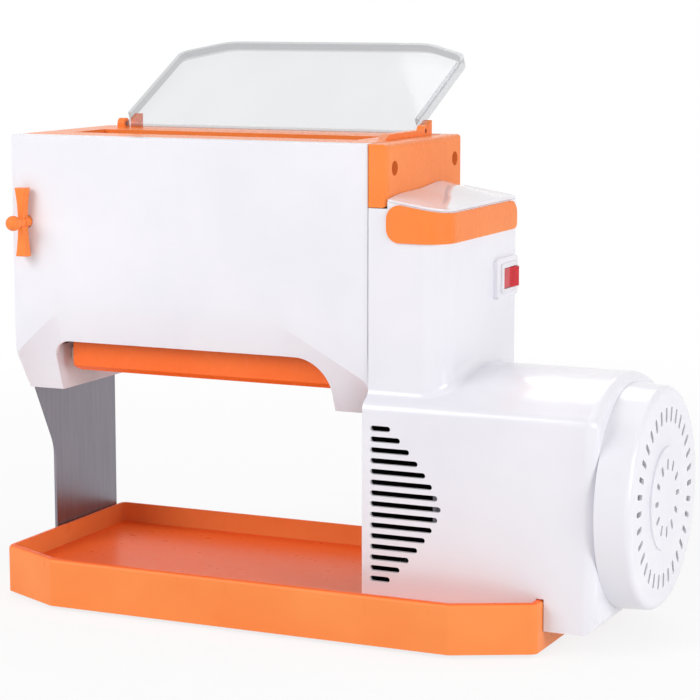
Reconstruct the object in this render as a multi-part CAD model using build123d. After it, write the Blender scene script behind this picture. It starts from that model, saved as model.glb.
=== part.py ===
from build123d import *
from math import acos, cos, pi, radians, sin, sqrt, tan
import os

# Electric pasta maker: press rollers and cutter rollers in a head over a tray, with a motor at the right.
# Bench coordinates while modelling, in millimetres: x runs to the right from the tray's left side, y runs
# back from the tray's front edge, z runs up from the bottom edge of the tray. The finished pieces are moved
# so that the origin is at the centre of the underside of the whole machine.

# ---- main widths ----
head_inner_width = 202.0
head_to_drive = 1.8
drive_left_x = head_inner_width + head_to_drive
column_width = 40.5
column_right_x = drive_left_x + column_width
housing_width = 122.2
housing_right_x = drive_left_x + housing_width
housing_overhang = 26.0

# ---- base tray ----
tray_length = housing_right_x - housing_overhang
tray_depth = 140.0
tray_height = 25.0
tray_wall = 3.2
tray_chamfer_x = 38.2
tray_chamfer_y = 19.0
tray_corner_radius = 5.0
rim_radius = 2.2
floor_underside = 11.5
floor_thickness = 2.5
foot_radius = 8.0
foot_height = 2.0
foot_seat_depth = 3.0
foot_inset_x = 26.0
foot_inset_y = 30.0
foot_boss_wall = 2.5
foot_chamfer = 0.8
plate_rib_width = 5.0
plate_rib_reach = 6.0
plate_rib_low_z = 2.0

# ---- side plates ----
plate_thickness = 1.5
front_y = 31.6
plate_under_top = 2.6
knee_lower_z = 70.0
leg_front_y = 69.5
plate_back_y = tray_depth - 6.0
plate_bottom_z = 3.0
knee_radius = 22.0

# ---- front cover, given at its flat middle panel and at its two ends ----
cover_wall = 2.2
cover_over_plate = 1.1
cover_top_z = 242.4
plate_top_z = cover_top_z - plate_under_top
cover_top_depth = 6.0
cover_bottom_z = 106.0
cover_bottom_y = 47.0
cover_bottom_depth = 8.0
panel_left_x = 25.0
panel_right_x = head_inner_width - 46.0
panel_bend_z = 163.0
panel_crease_y = 33.0
panel_crease_z = 150.0
left_end_y = 33.0
left_bend_z = 141.0
left_crease_z = 127.0
right_end_y = 35.5
right_bend_z = 139.0
right_crease_z = 123.5
end_crease_step = 0.6

# ---- noodle outlet in the front cover ----
outlet_left_x = 19.5
outlet_right_x = head_inner_width - 22.0
outlet_top_z = 133.5
outlet_left_radius = 9.0
outlet_right_radius = 18.0
outlet_wall = 2.0
outlet_lip_depth = 9.0
tunnel_top_z = 130.5
tunnel_back_y = 110.0
inner_floor_front_y = 85.1
underside_z = 111.4
lip_left_x = 27.0
lip_front_y = 45.4
lip_back_y = 55.2
lip_top_z = 134.8
lip_back_top_z = 129.6
lip_bottom_z = 117.3
lip_end_radius = 4.0

# ---- feed opening, chute and its hinge ----
frame_thickness = 3.0
throat_left_x = 18.0
throat_right_x = head_inner_width - 18.0
throat_front_y = 64.0
throat_back_y = 96.0
throat_bottom_z = cover_top_z - 20.4
throat_wall = 2.0
hinge_y = plate_back_y - 17.0
hinge_z = cover_top_z + 2.1
hinge_pin_radius = 1.3
hinge_pin_length = 4.0
hinge_bar_wall = 0.3
chute_left_x = 20.5
chute_right_x = head_inner_width - 6.8
chute_flare = 1.0
chute_length = 87.0
chute_angle = 27.0
chute_thickness = 2.2
chute_rim_height = 4.0
chute_rim_width = 2.2
chute_shoulder_width = 26.0
chute_shoulder_depth = 13.0
chute_corner_radius = 7.0
chute_shoulder_radius = 30.0
chute_rim_start = 3.5
lug_width = 4.2
lug_radius = 3.1
lug_gap = 0.4
guide_front_y = 62.0
guide_rise = 0.8
stop_front = 8.0
stop_back = 13.0
stop_width = 3.0

# ---- press rollers ----
press_radius = 18.0
press_axis_z = 197.0
nip_y = 79.0
thin_gap = 0.4
gap_travel = 2.5
roller_left_x = 16.0
roller_right_x = head_inner_width - 16.0
press_journal_radius = 6.0

# ---- cutter rollers ----
cutter_axis_z = 146.0
cutter_nip_y = 70.0
cutter_ring_radius = 13.8
cutter_core_radius = 12.0
cutter_journal_radius = 5.0
cutter_left_x = 22.0
cutter_right_x = head_inner_width - 22.0
ring_width = 2.8
ring_pitch = 6.2
first_ring_x = 26.0
ring_count = int((cutter_right_x - first_ring_x) / ring_pitch)

# ---- gears ----
pressure_angle = 25.0
tooth_backlash = 0.12
web_holes = 5
web_hole_radius = 5.5
web_hole_share = 0.588
fine_module = 1.0
middle_module = 1.25
coarse_module = 2.0
motor_pinion_teeth = 12
first_gear_teeth = 66
second_pinion_teeth = 14
second_gear_teeth = 52
cutter_pair_teeth = 21
cutter_output_teeth = 14
idler_teeth = 13
press_gear_teeth = 18
layer_a = (drive_left_x + 2.8, drive_left_x + 7.2)
layer_b = (drive_left_x + 8.4, drive_left_x + 13.2)
layer_c = (drive_left_x + 14.4, drive_left_x + 20.6)
layer_d = (drive_left_x + 22.4, drive_left_x + 28.2)

# ---- drive housing ----
housing_wall = 2.2
column_front_y = 34.9
housing_front_y = 27.4
housing_back_y = tray_depth - 3.5
column_top_z = 211.0
housing_crease_z = 114.0
housing_arch_rise = 16.0
housing_low_z = 9.5
fan_hole_radius = 50.0
shoulder_radius = 5.0
edge_radius = 6.0
column_front_radius = 13.0
column_back_radius = 5.0
rim_gap = 0.4
boss_half = 4.0
boss_height = 12.0
gland_x = housing_right_x - 14.0
gland_z = 40.0
gland_radius = 5.0
gland_lip = 2.0
gland_lip_depth = 1.5
gland_bore_radius = 2.6

# ---- motor ----
motor_y = 80.8
motor_z = 69.0
stator_radius = 39.0
stator_left_x = housing_right_x - 74.0
stator_right_x = housing_right_x - 30.0
bell_length = 12.0
bell_wall = 2.5
winding_radius = 31.0
winding_thickness = 4.2
pinion_seat_radius = 3.0
pinion_overhang = 1.0
rotor_gap = 0.5
rotor_setback = 2.0
bell_boss_length = 10.0
bell_boss_wall = 5.0
mount_width = 8.0
mount_depth = 28.0
mount_inset = 4.0
mount_rise = 5.0
capacitor_y = housing_back_y - 17.5
capacitor_z = 30.0
capacitor_radius = 10.0
capacitor_length = 45.0
capacitor_stud_radius = 3.0
capacitor_nut_height = 3.0
capacitor_nut_wall = 2.2
capacitor_stud_reach = 4.0
rotor_radius = 24.0
motor_shaft_radius = 4.0
fan_radius = 46.0
fan_blades = 9
fan_left_x = housing_right_x - 13.0
fan_depth = 25.0
fan_disc = 2.0
fan_hub_wall = 4.0
fan_hub_setback = 2.0
fan_blade_setback = 4.0
fan_blade_half = 0.9

# ---- fan cover ----
drum_radius = 56.5
drum_length = 18.0
drum_draft = 1.0
drum_edge = 4.0
slot_ring_radius = 41.6
outer_slots = 32
outer_slot_length = 7.5
inner_ring_radius = 17.0
inner_slots = 12
inner_slot_length = 5.5
slot_width = 2.6
disc_radius = 26.0
disc_rise = 1.2

# ---- vent slots, longest in the middle row ----
vent_left_x = drive_left_x + 4.4
vent_rows = 15
vent_pitch = 5.44
vent_height = 2.8
vent_middle_z = 64.5
vent_longest = 38.0
vent_shortest = 10.8
vent_taper = 1.4
vent_rounding = 0.45

# ---- column band and top, gear cover ----
band_bottom_z = column_top_z - 16.7
band_left_x = drive_left_x + 9.8
band_proud = 0.9
band_depth = 1.7
band_end_radius = 7.0
band_tail_radius = 10.0
band_tail_low_radius = 5.0
band_back_y = housing_back_y - 3.0
band_edge_drop = 0.4
column_rise_z = column_top_z + 3.5
column_fall_z = column_top_z - 1.4
top_crown = 5.3
top_right_share = 0.4
top_edge = 1.2
top_front_y = 45.0
top_middle_y = 80.0
top_peak_y = housing_back_y - 28.5
top_back_y = housing_back_y - 9.5
gear_cover_right_x = drive_left_x + 9.9
gear_cover_back_y = plate_back_y - 1.0
gear_cover_wall = 2.0
gear_cover_edge = 3.0
rod_screw_z = cover_top_z - 12.1
rod_front_y = 44.6
rod_back_y = plate_back_y - 11.1
rod_screw_recess = 6.0
rod_boss_wall = 2.0

# ---- switch ----
switch_y = housing_back_y - 21.5
switch_z = 170.5
pad_depth = 29.0
pad_height = 21.0
pad_rise = 3.0
bezel_depth = 22.0
bezel_height = 15.5
bezel_rise = 1.4
rocker_depth = 17.0
rocker_height = 10.2
rocker_throw = 14.0
rocker_proud = 0.8
rocker_pin_radius = 1.2
switch_body_half_y = 10.0
switch_body_half_z = 6.8
switch_body_length = 16.0
tag_length = 8.0
tag_half_y = 0.4
tag_half_z = 2.4
tag_pitch = 5.0
rocker_pin_depth = 0.8
rocker_pin_end_gap = 0.2

# ---- knob ----
knob_x = 8.0
knob_bar_height = 36.0
knob_bar_tip = 6.6
knob_bar_waist = 3.2
knob_bar_depth = 5.0
knob_hub_radius = 4.0
knob_hub_length = 10.5
knob_gap = 1.2
knob_neck_radius = 2.6
knob_stem_radius = 3.0
adjusting_screw_radius = 2.0
bracket_front_y = 38.0
bracket_thickness = 2.0
bracket_half = 11.0
collar_width = 1.4
collar_step = 2.0

# ---- fits and small parts ----
running_gap = 0.05
seat_gap = 0.05
clear_gap = 0.3
rod_radius = 4.0
screw_head_radius = 3.4
screw_head_height = 2.0
screw_radius = 1.6
screw_gap = 0.1
drive_radius = 1.5
drive_depth = 1.0
rod_screw_depth = 10.0
rod_bore_depth = 15.0
tray_screw_depth = 4.0
housing_screw_depth = 7.0
bush_wall = 2.5
cap_thickness = 2.0
cap_edge = 1.2
flange_width = 2.5
flange_thickness = 1.2
stud_step = 1.5
stud_gap = 0.2

# ---- places worked out from the sizes above ----
floor_top = floor_underside + floor_thickness
right_plate_x = head_inner_width
press_spacing = 2 * press_radius + thin_gap
press_front_y = nip_y - press_spacing / 2
press_back_y = nip_y + press_spacing / 2
cutter_spacing = middle_module * cutter_pair_teeth
cutter_front_y = cutter_nip_y - cutter_spacing / 2
cutter_back_y = cutter_nip_y + cutter_spacing / 2
housing_middle_y = (housing_front_y + housing_back_y) / 2
gear_plate_x = layer_d[1] + 4.0
gear_plate_thickness = 2.0
gear_plate_corner = 6.0
shaft_hole_gap = 1.0
drive_wall_thickness = 2.0
gear_plate_right = gear_plate_x + gear_plate_thickness


def block(x0, x1, y0, y1, z0, z1):
    """A box between two corners."""
    size = Box(x1 - x0, y1 - y0, z1 - z0)
    return Pos((x0 + x1) / 2, (y0 + y1) / 2, (z0 + z1) / 2) * size


def rod_x(x0, x1, y, z, radius):
    """A round bar along x."""
    return Pos((x0 + x1) / 2, y, z) * Rot(0, 90, 0) * Cylinder(radius, x1 - x0)


def rod_y(x, y0, y1, z, radius):
    """A round bar along y."""
    return Pos(x, (y0 + y1) / 2, z) * Rot(90, 0, 0) * Cylinder(radius, y1 - y0)


def rod_z(x, y, z0, z1, radius):
    """A round bar along z."""
    return Pos(x, y, (z0 + z1) / 2) * Cylinder(radius, z1 - z0)


def side_slab(face, x0, x1):
    """A flat shape drawn in y and z, given its thickness from x0 to x1."""
    return Pos(x0, 0, 0) * extrude(Plane.YZ * face, x1 - x0, dir=(1, 0, 0))


def side_profile(points, x0, x1):
    """A closed outline of (y, z) points, given its thickness from x0 to x1."""
    return side_slab(make_face(Polyline(*points, close=True)), x0, x1)


def polar(y, z, distance, angle):
    """The point at a distance and an angle, in degrees from +y towards +z."""
    return (y + distance * cos(radians(angle)), z + distance * sin(radians(angle)))


def front_profile(face, y0, y1):
    """A flat shape drawn in x and z, given its thickness from y0 to y1."""
    return Pos(0, y1, 0) * extrude(Plane.XZ * face, y1 - y0, dir=(0, -1, 0))


def corner(shape, point):
    """The vertex of a flat shape that lies nearest to a point."""
    return shape.vertices().sort_by_distance(Vector(*point))[0:1]


def rounded_slab(x0, x1, z0, z1, left_radius, right_radius, y0, y1):
    """A slab seen from the front, with its two upper corners rounded."""
    face = make_face(Polyline((x0, z0), (x0, z1), (x1, z1), (x1, z0), close=True))
    face = fillet(corner(face, (x0, z1, 0)), left_radius)
    face = fillet(corner(face, (x1, z1, 0)), right_radius)
    return front_profile(face, y0, y1)


def involute(angle):
    """The involute of an angle in radians."""
    return tan(angle) - angle


def gear_outline(teeth, module, turn):
    """The (y, z) points of a spur gear whose first tooth points at the angle turn, in degrees from +y."""
    pitch = module * teeth / 2
    base = pitch * cos(radians(pressure_angle))
    radii = [pitch - 1.2 * module, max(base, pitch - 0.6 * module), pitch, pitch + 0.95 * module]
    points = []
    for tooth in range(teeth):
        middle = radians(turn) + 2 * pi * tooth / teeth
        flank = []
        for radius in radii:
            at_base = max(radius, base)
            half = pi / (2 * teeth) - tooth_backlash * module / (2 * pitch)
            half += involute(radians(pressure_angle)) - involute(acos(base / at_base))
            flank.append((radius, half))
        flank[0] = (radii[0], flank[1][1])
        for radius, half in flank:
            points.append((radius * cos(middle - half), radius * sin(middle - half)))
        for radius, half in reversed(flank):
            points.append((radius * cos(middle + half), radius * sin(middle + half)))
    return points


def gear(teeth, module, y, z, turn, layer, bore):
    """A spur gear on an axis along x, from the first to the second x of its layer."""
    body = side_profile(gear_outline(teeth, module, turn), layer[0], layer[1])
    return Pos(0, y, z) * body - rod_x(layer[0] - 1, layer[1] + 1, y, z, bore)


def meshed_turn(turn, teeth, next_teeth, direction):
    """Where the next gear's first tooth points, so that it meshes with this one along a direction."""
    phase = (direction - turn) * teeth / 360
    return direction + 180 - (0.5 - phase) * 360 / next_teeth


def direction_of(y0, z0, y1, z1):
    """The angle in degrees from +y of the line between two axes."""
    return Vector(y1 - y0, z1 - z0, 0).get_signed_angle(Vector(1, 0, 0), Vector(0, 0, -1))


def apex(y0, z0, y1, z1, first, second):
    """The axis that lies at two distances from two others, on the side towards the back."""
    span = sqrt((y1 - y0) ** 2 + (z1 - z0) ** 2)
    along = (first ** 2 - second ** 2 + span ** 2) / (2 * span)
    aside = sqrt(first ** 2 - along ** 2)
    step_y = (y1 - y0) / span
    step_z = (z1 - z0) / span
    return (y0 + step_y * along + step_z * aside, z0 + step_z * along - step_y * aside)


# ---- gear axes and the turn at which each gear meshes ----
first_distance = fine_module * (motor_pinion_teeth + first_gear_teeth) / 2
second_distance = middle_module * (second_pinion_teeth + second_gear_teeth) / 2
reduction_y, reduction_z = apex(motor_y, motor_z, cutter_back_y, cutter_axis_z,
                                first_distance, second_distance)
output_distance = coarse_module * (cutter_output_teeth + idler_teeth) / 2
press_distance = coarse_module * (idler_teeth + press_gear_teeth) / 2
idler_y, idler_z = apex(cutter_back_y, cutter_axis_z, press_back_y, press_axis_z,
                        output_distance, press_distance)

motor_to_reduction = direction_of(motor_y, motor_z, reduction_y, reduction_z)
first_gear_turn = meshed_turn(0, motor_pinion_teeth, first_gear_teeth, motor_to_reduction)
reduction_to_cutter = direction_of(reduction_y, reduction_z, cutter_back_y, cutter_axis_z)
second_gear_turn = meshed_turn(0, second_pinion_teeth, second_gear_teeth, reduction_to_cutter)
front_cutter_turn = meshed_turn(0, cutter_pair_teeth, cutter_pair_teeth, 180)
cutter_to_idler = direction_of(cutter_back_y, cutter_axis_z, idler_y, idler_z)
idler_turn = meshed_turn(0, cutter_output_teeth, idler_teeth, cutter_to_idler)
idler_to_press = direction_of(idler_y, idler_z, press_back_y, press_axis_z)
back_press_turn = meshed_turn(idler_turn, idler_teeth, press_gear_teeth, idler_to_press)
front_press_turn = meshed_turn(back_press_turn, press_gear_teeth, press_gear_teeth, 180)

# ---- other shared places ----
left_outside = -plate_thickness
right_outside = right_plate_x + plate_thickness
rod_low_y = plate_back_y - 10.0
rod_low_z = 118.0
plate_screw_y = (80.0, plate_back_y - 10.0)
plate_screw_z = 7.5
screw_front_y = housing_front_y + 8.6
screw_back_y = housing_back_y - 7.5
screw_left_x = drive_left_x + 18.2
screw_right_x = tray_length - 10.0
housing_screw_spots = [(x, y) for x in (screw_left_x, screw_right_x) for y in (screw_front_y, screw_back_y)]
pillar_spots = [(74.0, 24.0), (housing_back_y - 9.5, 60.0), (46.0, 125.0), (housing_back_y - 8.5, 150.0)]
pillar_radius = 4.0
stud_radius = 4.0
stud_rivet_radius = 3.0
rivet_radius = 2.5
plate_low_y = 42.0
plate_high_y = housing_back_y - 4.5
plate_low_z = 17.0
plate_high_z = 158.0
motor_screw_spots = [polar(motor_y, motor_z, 33.0, angle) for angle in (130, 210, 330)]
rocker_pivot_x = column_right_x + pad_rise + bezel_rise - 6.7
rods = [(rod_front_y, rod_screw_z), (rod_back_y, rod_screw_z), (rod_low_y, rod_low_z)]
cutter_axes = [(cutter_front_y, cutter_axis_z), (cutter_back_y, cutter_axis_z)]
carriage_half = 14.0
nut_end_y = press_front_y - press_journal_radius - flange_thickness
screw_front_end_y = front_y - 4.0
stem_end_y = front_y + 4.0
carriage_thickness = 12.7
carriage_play = 0.8
carriage_bottom_z = press_axis_z - 27.0
carriage_top_z = press_axis_z + 26.0
tongue_half_y = 8.0
tongue_half_z = 7.0
block_left = (carriage_play, carriage_play + carriage_thickness)
block_right = (right_plate_x - block_left[1], right_plate_x - block_left[0])
comb_spine = (lip_back_y, 62.0)
comb_bottom_z = cutter_axis_z - 25.0
comb_top_z = cutter_axis_z - 18.4
comb_tine = 2.2
cover_top_back_y = right_end_y + cover_top_depth


def base_tray():
    """Shallow tray with a skirt: chamfered front corners, recessed floor, foot bosses and the plate slot."""
    outline = [
        (0, tray_chamfer_y),
        (tray_chamfer_x, 0),
        (tray_length - tray_chamfer_x, 0),
        (tray_length, tray_chamfer_y),
        (tray_length, tray_depth),
        (0, tray_depth),
    ]
    plan = make_face(Polyline(*outline, close=True))
    plan = fillet(plan.vertices(), tray_corner_radius)
    inner = offset(plan, -tray_wall)
    tray = extrude(plan, tray_height)
    tray = fillet(tray.edges().group_by(Axis.Z)[-1], rim_radius)
    tray = tray - Pos(0, 0, floor_top) * extrude(inner, tray_height) - extrude(inner, floor_underside)
    for x in (foot_inset_x, tray_length - foot_inset_x):
        for y in (foot_inset_y, tray_depth - foot_inset_y):
            tray = tray + rod_z(x, y, 0, floor_underside, foot_radius + foot_boss_wall)
            tray = tray - rod_z(x, y, -1, foot_seat_depth, foot_radius + seat_gap)
    rib_front = plate_screw_y[0] - plate_rib_reach
    rib_back = plate_screw_y[1] + plate_rib_reach
    tray = tray + block(right_plate_x - plate_rib_width, right_plate_x - clear_gap, rib_front, rib_back,
                        plate_rib_low_z, floor_underside)
    tray = tray - block(right_plate_x - clear_gap, right_outside + clear_gap, leg_front_y - clear_gap,
                        plate_back_y + clear_gap, floor_underside - 1, floor_top + 1)
    for y in plate_screw_y:
        tray = tray - rod_x(-1, right_plate_x, y, plate_screw_z, screw_radius + screw_gap)
    for x, y in housing_screw_spots:
        tray = tray - rod_z(x, y, floor_underside - 1, floor_top + 1, screw_radius + screw_gap)
    return tray


def rubber_feet():
    feet = []
    for x in (foot_inset_x, tray_length - foot_inset_x):
        for y in (foot_inset_y, tray_depth - foot_inset_y):
            foot = rod_z(x, y, -foot_height, foot_seat_depth, foot_radius)
            feet.append(chamfer(foot.edges().group_by(Axis.Z)[0], foot_chamfer))
    return Compound(children=feet)


def plate_outline(x0, x1, end_y, bend_z, crease_z, grow):
    """A side plate's solid, its front edge just behind the cover's end, made larger in front by grow."""
    behind = cover_wall + clear_gap - grow
    outline = [
        (end_y + behind, plate_top_z + grow),
        (end_y + behind, bend_z),
        (end_y + end_crease_step + behind, crease_z),
        (cover_bottom_y + behind, cover_bottom_z + cover_wall),
        (leg_front_y - grow, knee_lower_z),
        (leg_front_y - grow, plate_bottom_z),
        (plate_back_y, plate_bottom_z),
        (plate_back_y, plate_top_z + grow),
    ]
    face = make_face(Polyline(*outline, close=True))
    face = fillet(corner(face, (leg_front_y - grow, knee_lower_z, 0)), knee_radius)
    return side_slab(face, x0, x1)


def left_plate_outline(x0, x1, grow):
    return plate_outline(x0, x1, left_end_y, left_bend_z, left_crease_z, grow)


def right_plate_outline(x0, x1, grow):
    return plate_outline(x0, x1, right_end_y, right_bend_z, right_crease_z, grow)


def side_plate(plate, x0, x1):
    """Steel end plate of the head with its leg, cut for the roller bushes and the sliding blocks."""
    press_hole = press_journal_radius + bush_wall + seat_gap
    plate = plate - rod_x(x0 - 1, x1 + 1, press_back_y, press_axis_z, press_hole)
    for y, z in cutter_axes:
        plate = plate - rod_x(x0 - 1, x1 + 1, y, z, cutter_journal_radius + bush_wall + seat_gap)
    window_front = press_front_y - tongue_half_y - gap_travel - clear_gap
    window_back = press_front_y + tongue_half_y + clear_gap
    plate = plate - block(x0 - 1, x1 + 1, window_front, window_back,
                          press_axis_z - tongue_half_z - clear_gap, press_axis_z + tongue_half_z + clear_gap)
    for y, z in rods + [(y, plate_screw_z) for y in plate_screw_y]:
        plate = plate - rod_x(x0 - 1, x1 + 1, y, z, screw_radius + screw_gap)
    if x0 > 0:
        plate = plate - rod_x(x0 - 1, x1 + 1, idler_y, idler_z, stud_rivet_radius + seat_gap)
        for y, z in pillar_spots:
            plate = plate - rod_x(x0 - 1, x1 + 1, y, z, rivet_radius + seat_gap)
    return plate


def left_side_plate():
    return side_plate(left_plate_outline(left_outside, 0, 0), left_outside, 0)


def right_side_plate():
    return side_plate(right_plate_outline(right_plate_x, right_outside, 0), right_plate_x, right_outside)


def tie_rods():
    """Three spacer rods between the side plates, drilled for a screw at each end."""
    pieces = []
    for y, z in rods:
        rod = rod_x(0, right_plate_x, y, z, rod_radius)
        rod = rod - rod_x(-1, rod_bore_depth, y, z, screw_radius + seat_gap)
        right_bore = rod_x(right_plate_x - rod_bore_depth, right_plate_x + 1, y, z, screw_radius + seat_gap)
        pieces.append(rod - right_bore)
    return Compound(children=pieces)


def screw_x(head_x, y, z, tip_x):
    """A pan-head screw along x: the head's bearing face is at head_x and the tip at tip_x."""
    outward = 1 if head_x > tip_x else -1
    head_end = head_x + outward * screw_head_height
    head = rod_x(min(head_x, head_end), max(head_x, head_end), y, z, screw_head_radius)
    drive_end = head_end - outward * drive_depth
    drive = rod_x(min(head_end, drive_end), max(head_end, drive_end), y, z, drive_radius)
    return head - drive + rod_x(min(head_x, tip_x), max(head_x, tip_x), y, z, screw_radius)


def tie_rod_screws():
    screws = [screw_x(left_outside, y, z, rod_screw_depth) for y, z in rods]
    screws.append(screw_x(right_outside, rod_low_y, rod_low_z, right_plate_x - rod_screw_depth))
    return Compound(children=screws)


def tray_screws():
    """Screws that hold the side plates to the tray, and the drive housing to the tray's floor."""
    pieces = [screw_x(left_outside, y, plate_screw_z, tray_screw_depth) for y in plate_screw_y]
    right_tip = right_plate_x - tray_screw_depth
    pieces += [screw_x(right_outside, y, plate_screw_z, right_tip) for y in plate_screw_y]
    for x, y in housing_screw_spots:
        head = rod_z(x, y, floor_underside - screw_head_height, floor_underside, screw_head_radius)
        pieces.append(head + rod_z(x, y, floor_underside, floor_top + housing_screw_depth, screw_radius))
    return Compound(children=pieces)


def cover_section(x, front, bend_z, crease_y, crease_z, inset, back_y):
    """One upright section through the front cover's outside, or through its hollow when inset is the wall."""
    points = [
        (back_y, cover_top_z - inset),
        (front + inset, cover_top_z - inset),
        (front + inset, bend_z),
        (crease_y + inset, crease_z),
        (cover_bottom_y + inset, cover_bottom_z + inset),
        (back_y, cover_bottom_z + inset),
    ]
    plane = Plane(origin=(x, 0, 0), x_dir=(0, 1, 0), z_dir=(1, 0, 0))
    return make_face(plane * Polyline(*points, close=True))


def cover_body(inset, left_x, right_x, back_y):
    """A solid through the cover's four sections: its two ends and the two edges of the flat middle panel."""
    middle = (front_y, panel_bend_z, panel_crease_y, panel_crease_z)
    left = (left_end_y, left_bend_z, left_end_y + end_crease_step, left_crease_z)
    right = (right_end_y, right_bend_z, right_end_y + end_crease_step, right_crease_z)
    sections = [
        cover_section(left_x, *left, inset, back_y),
        cover_section(panel_left_x, *middle, inset, back_y),
        cover_section(panel_right_x, *middle, inset, back_y),
        cover_section(right_x, *right, inset, back_y),
    ]
    return loft(sections, ruled=True)


def outlet_arch(grow, y0, y1):
    """The outlet's arch as a solid, made larger all round by grow."""
    return rounded_slab(outlet_left_x - grow, outlet_right_x + grow, cover_bottom_z - 5, outlet_top_z + grow,
                        outlet_left_radius + grow, outlet_right_radius + grow, y0, y1)


def front_cover():
    """Faceted front shell with the arched noodle outlet and its side walls."""
    left_x = -cover_over_plate
    right_x = right_plate_x + cover_over_plate
    outer = cover_body(0, left_x, right_x, tunnel_back_y)
    cover = outer - cover_body(cover_wall, left_x - 0.01, right_x + 0.01, tunnel_back_y + 1)
    middle_z = (cover_top_z + cover_bottom_z) / 2
    flange_back_y = cover_bottom_y + cover_bottom_depth
    behind_y = tunnel_back_y + 1
    cover = cover - block(left_x - 1, right_x + 1, cover_top_back_y, behind_y, middle_z, cover_top_z + 1)
    cover = cover - block(left_x - 1, right_x + 1, flange_back_y, behind_y, cover_bottom_z - 1, middle_z)
    cover = cover - left_plate_outline(left_x - 1, clear_gap, clear_gap / 2)
    cover = cover - right_plate_outline(right_plate_x - clear_gap, right_x + 1, clear_gap / 2)
    cover = cover + (outlet_arch(outlet_wall, front_y - 1, front_y + outlet_lip_depth) & outer)
    for x in (outlet_left_x - outlet_wall, outlet_right_x):
        side = block(x, x + outlet_wall, front_y, tunnel_back_y, cover_bottom_z, tunnel_top_z)
        cover = cover + (side & outer)
    cover = cover - outlet_arch(0, front_y - 5, tunnel_back_y + 1)
    return cover - rod_y(knob_x, front_y - 5, front_y + 20, press_axis_z, knob_stem_radius + clear_gap)


def rear_cover():
    """Back wall and underside of the head."""
    x0 = clear_gap
    x1 = right_plate_x - clear_gap
    wall = block(x0, x1, plate_back_y - cover_wall, plate_back_y, cover_bottom_z, cover_top_z)
    under = block(x0, x1, tunnel_back_y + clear_gap, plate_back_y, underside_z, underside_z + cover_wall)
    inner_left = outlet_left_x + clear_gap
    inner_right = outlet_right_x - clear_gap
    inner = block(inner_left, inner_right, inner_floor_front_y, plate_back_y,
                  underside_z, underside_z + cover_wall)
    cover = wall + under + inner
    low_edge = cover.edges().filter_by(Axis.X).sort_by_distance((x0, plate_back_y, cover_bottom_z))[0]
    return fillet(low_edge, cover_wall * 0.9)


def hinge_lug(x0, x1):
    """A rounded ear that holds one end of the chute's hinge."""
    foot = block(x0, x1, hinge_y - lug_radius, hinge_y + lug_radius, cover_top_z - 1, hinge_z)
    ear = foot + rod_x(x0, x1, hinge_y, hinge_z, lug_radius)
    return ear - rod_x(x0 - 1, x1 + 1, hinge_y, hinge_z, hinge_pin_radius + running_gap)


def chute_stop(x0, x1):
    """A small heel that the open chute leans on."""
    slope = tan(radians(chute_angle))
    drop = chute_thickness / 2 / cos(radians(chute_angle)) + clear_gap
    front = hinge_y + stop_front
    back = hinge_y + stop_back
    points = [
        (front, cover_top_z - 1),
        (back, cover_top_z - 1),
        (back, hinge_z + (back - hinge_y) * slope - drop),
        (front, hinge_z + (front - hinge_y) * slope - drop),
    ]
    return side_profile(points, x0, x1)


def top_frame():
    """Top plate of the head with the feed throat, the chute's lugs and the raised guide at the right end."""
    x0 = clear_gap
    x1 = right_plate_x - clear_gap
    back = plate_back_y - cover_wall - clear_gap
    frame = block(x0, x1, cover_top_back_y + clear_gap, back, cover_top_z - frame_thickness, cover_top_z)
    frame = frame + block(throat_left_x - throat_wall, throat_right_x + throat_wall,
                          throat_front_y - throat_wall, throat_back_y + throat_wall,
                          throat_bottom_z, cover_top_z - frame_thickness)
    guide_top_z = hinge_z + guide_rise
    guide = [
        (guide_front_y, cover_top_z - 1),
        (guide_front_y + 8, guide_top_z),
        (hinge_y, guide_top_z),
        (hinge_y, cover_top_z - 1),
    ]
    right_lug = chute_right_x + lug_gap
    left_lug = chute_left_x - lug_gap - lug_width
    frame = frame + side_profile(guide, right_lug, right_lug + lug_width)
    frame = frame + hinge_lug(left_lug, left_lug + lug_width) + hinge_lug(right_lug, right_lug + lug_width)
    frame = frame + chute_stop(left_lug + lug_width / 2, left_lug + lug_width + stop_width)
    frame = frame + chute_stop(right_lug - stop_width, right_lug + lug_width / 2)
    frame = frame - block(throat_left_x, throat_right_x, throat_front_y, throat_back_y,
                          throat_bottom_z - 1, cover_top_z + 1)
    pin_hole = hinge_pin_radius + running_gap
    return frame - rod_x(left_lug - 1, right_lug + lug_width + 1, hinge_y, hinge_z, pin_hole)


def chute_plan():
    """The chute's outline seen square on: a little wider at its far end, with sloping shoulders."""
    far_left = chute_left_x - chute_flare
    far_right = chute_right_x + chute_flare
    shoulder_y = chute_length - chute_shoulder_depth
    outline = [
        (chute_left_x, 0),
        (far_left, shoulder_y),
        (far_left + chute_shoulder_width, chute_length),
        (far_right - chute_shoulder_width, chute_length),
        (far_right, shoulder_y),
        (chute_right_x, 0),
    ]
    plan = make_face(Polyline(*outline, close=True))
    for point in (outline[1], outline[4]):
        plan = fillet(corner(plan, point + (0,)), chute_corner_radius)
    for point in (outline[2], outline[3]):
        plan = fillet(corner(plan, point + (0,)), chute_shoulder_radius)
    return plan


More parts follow.
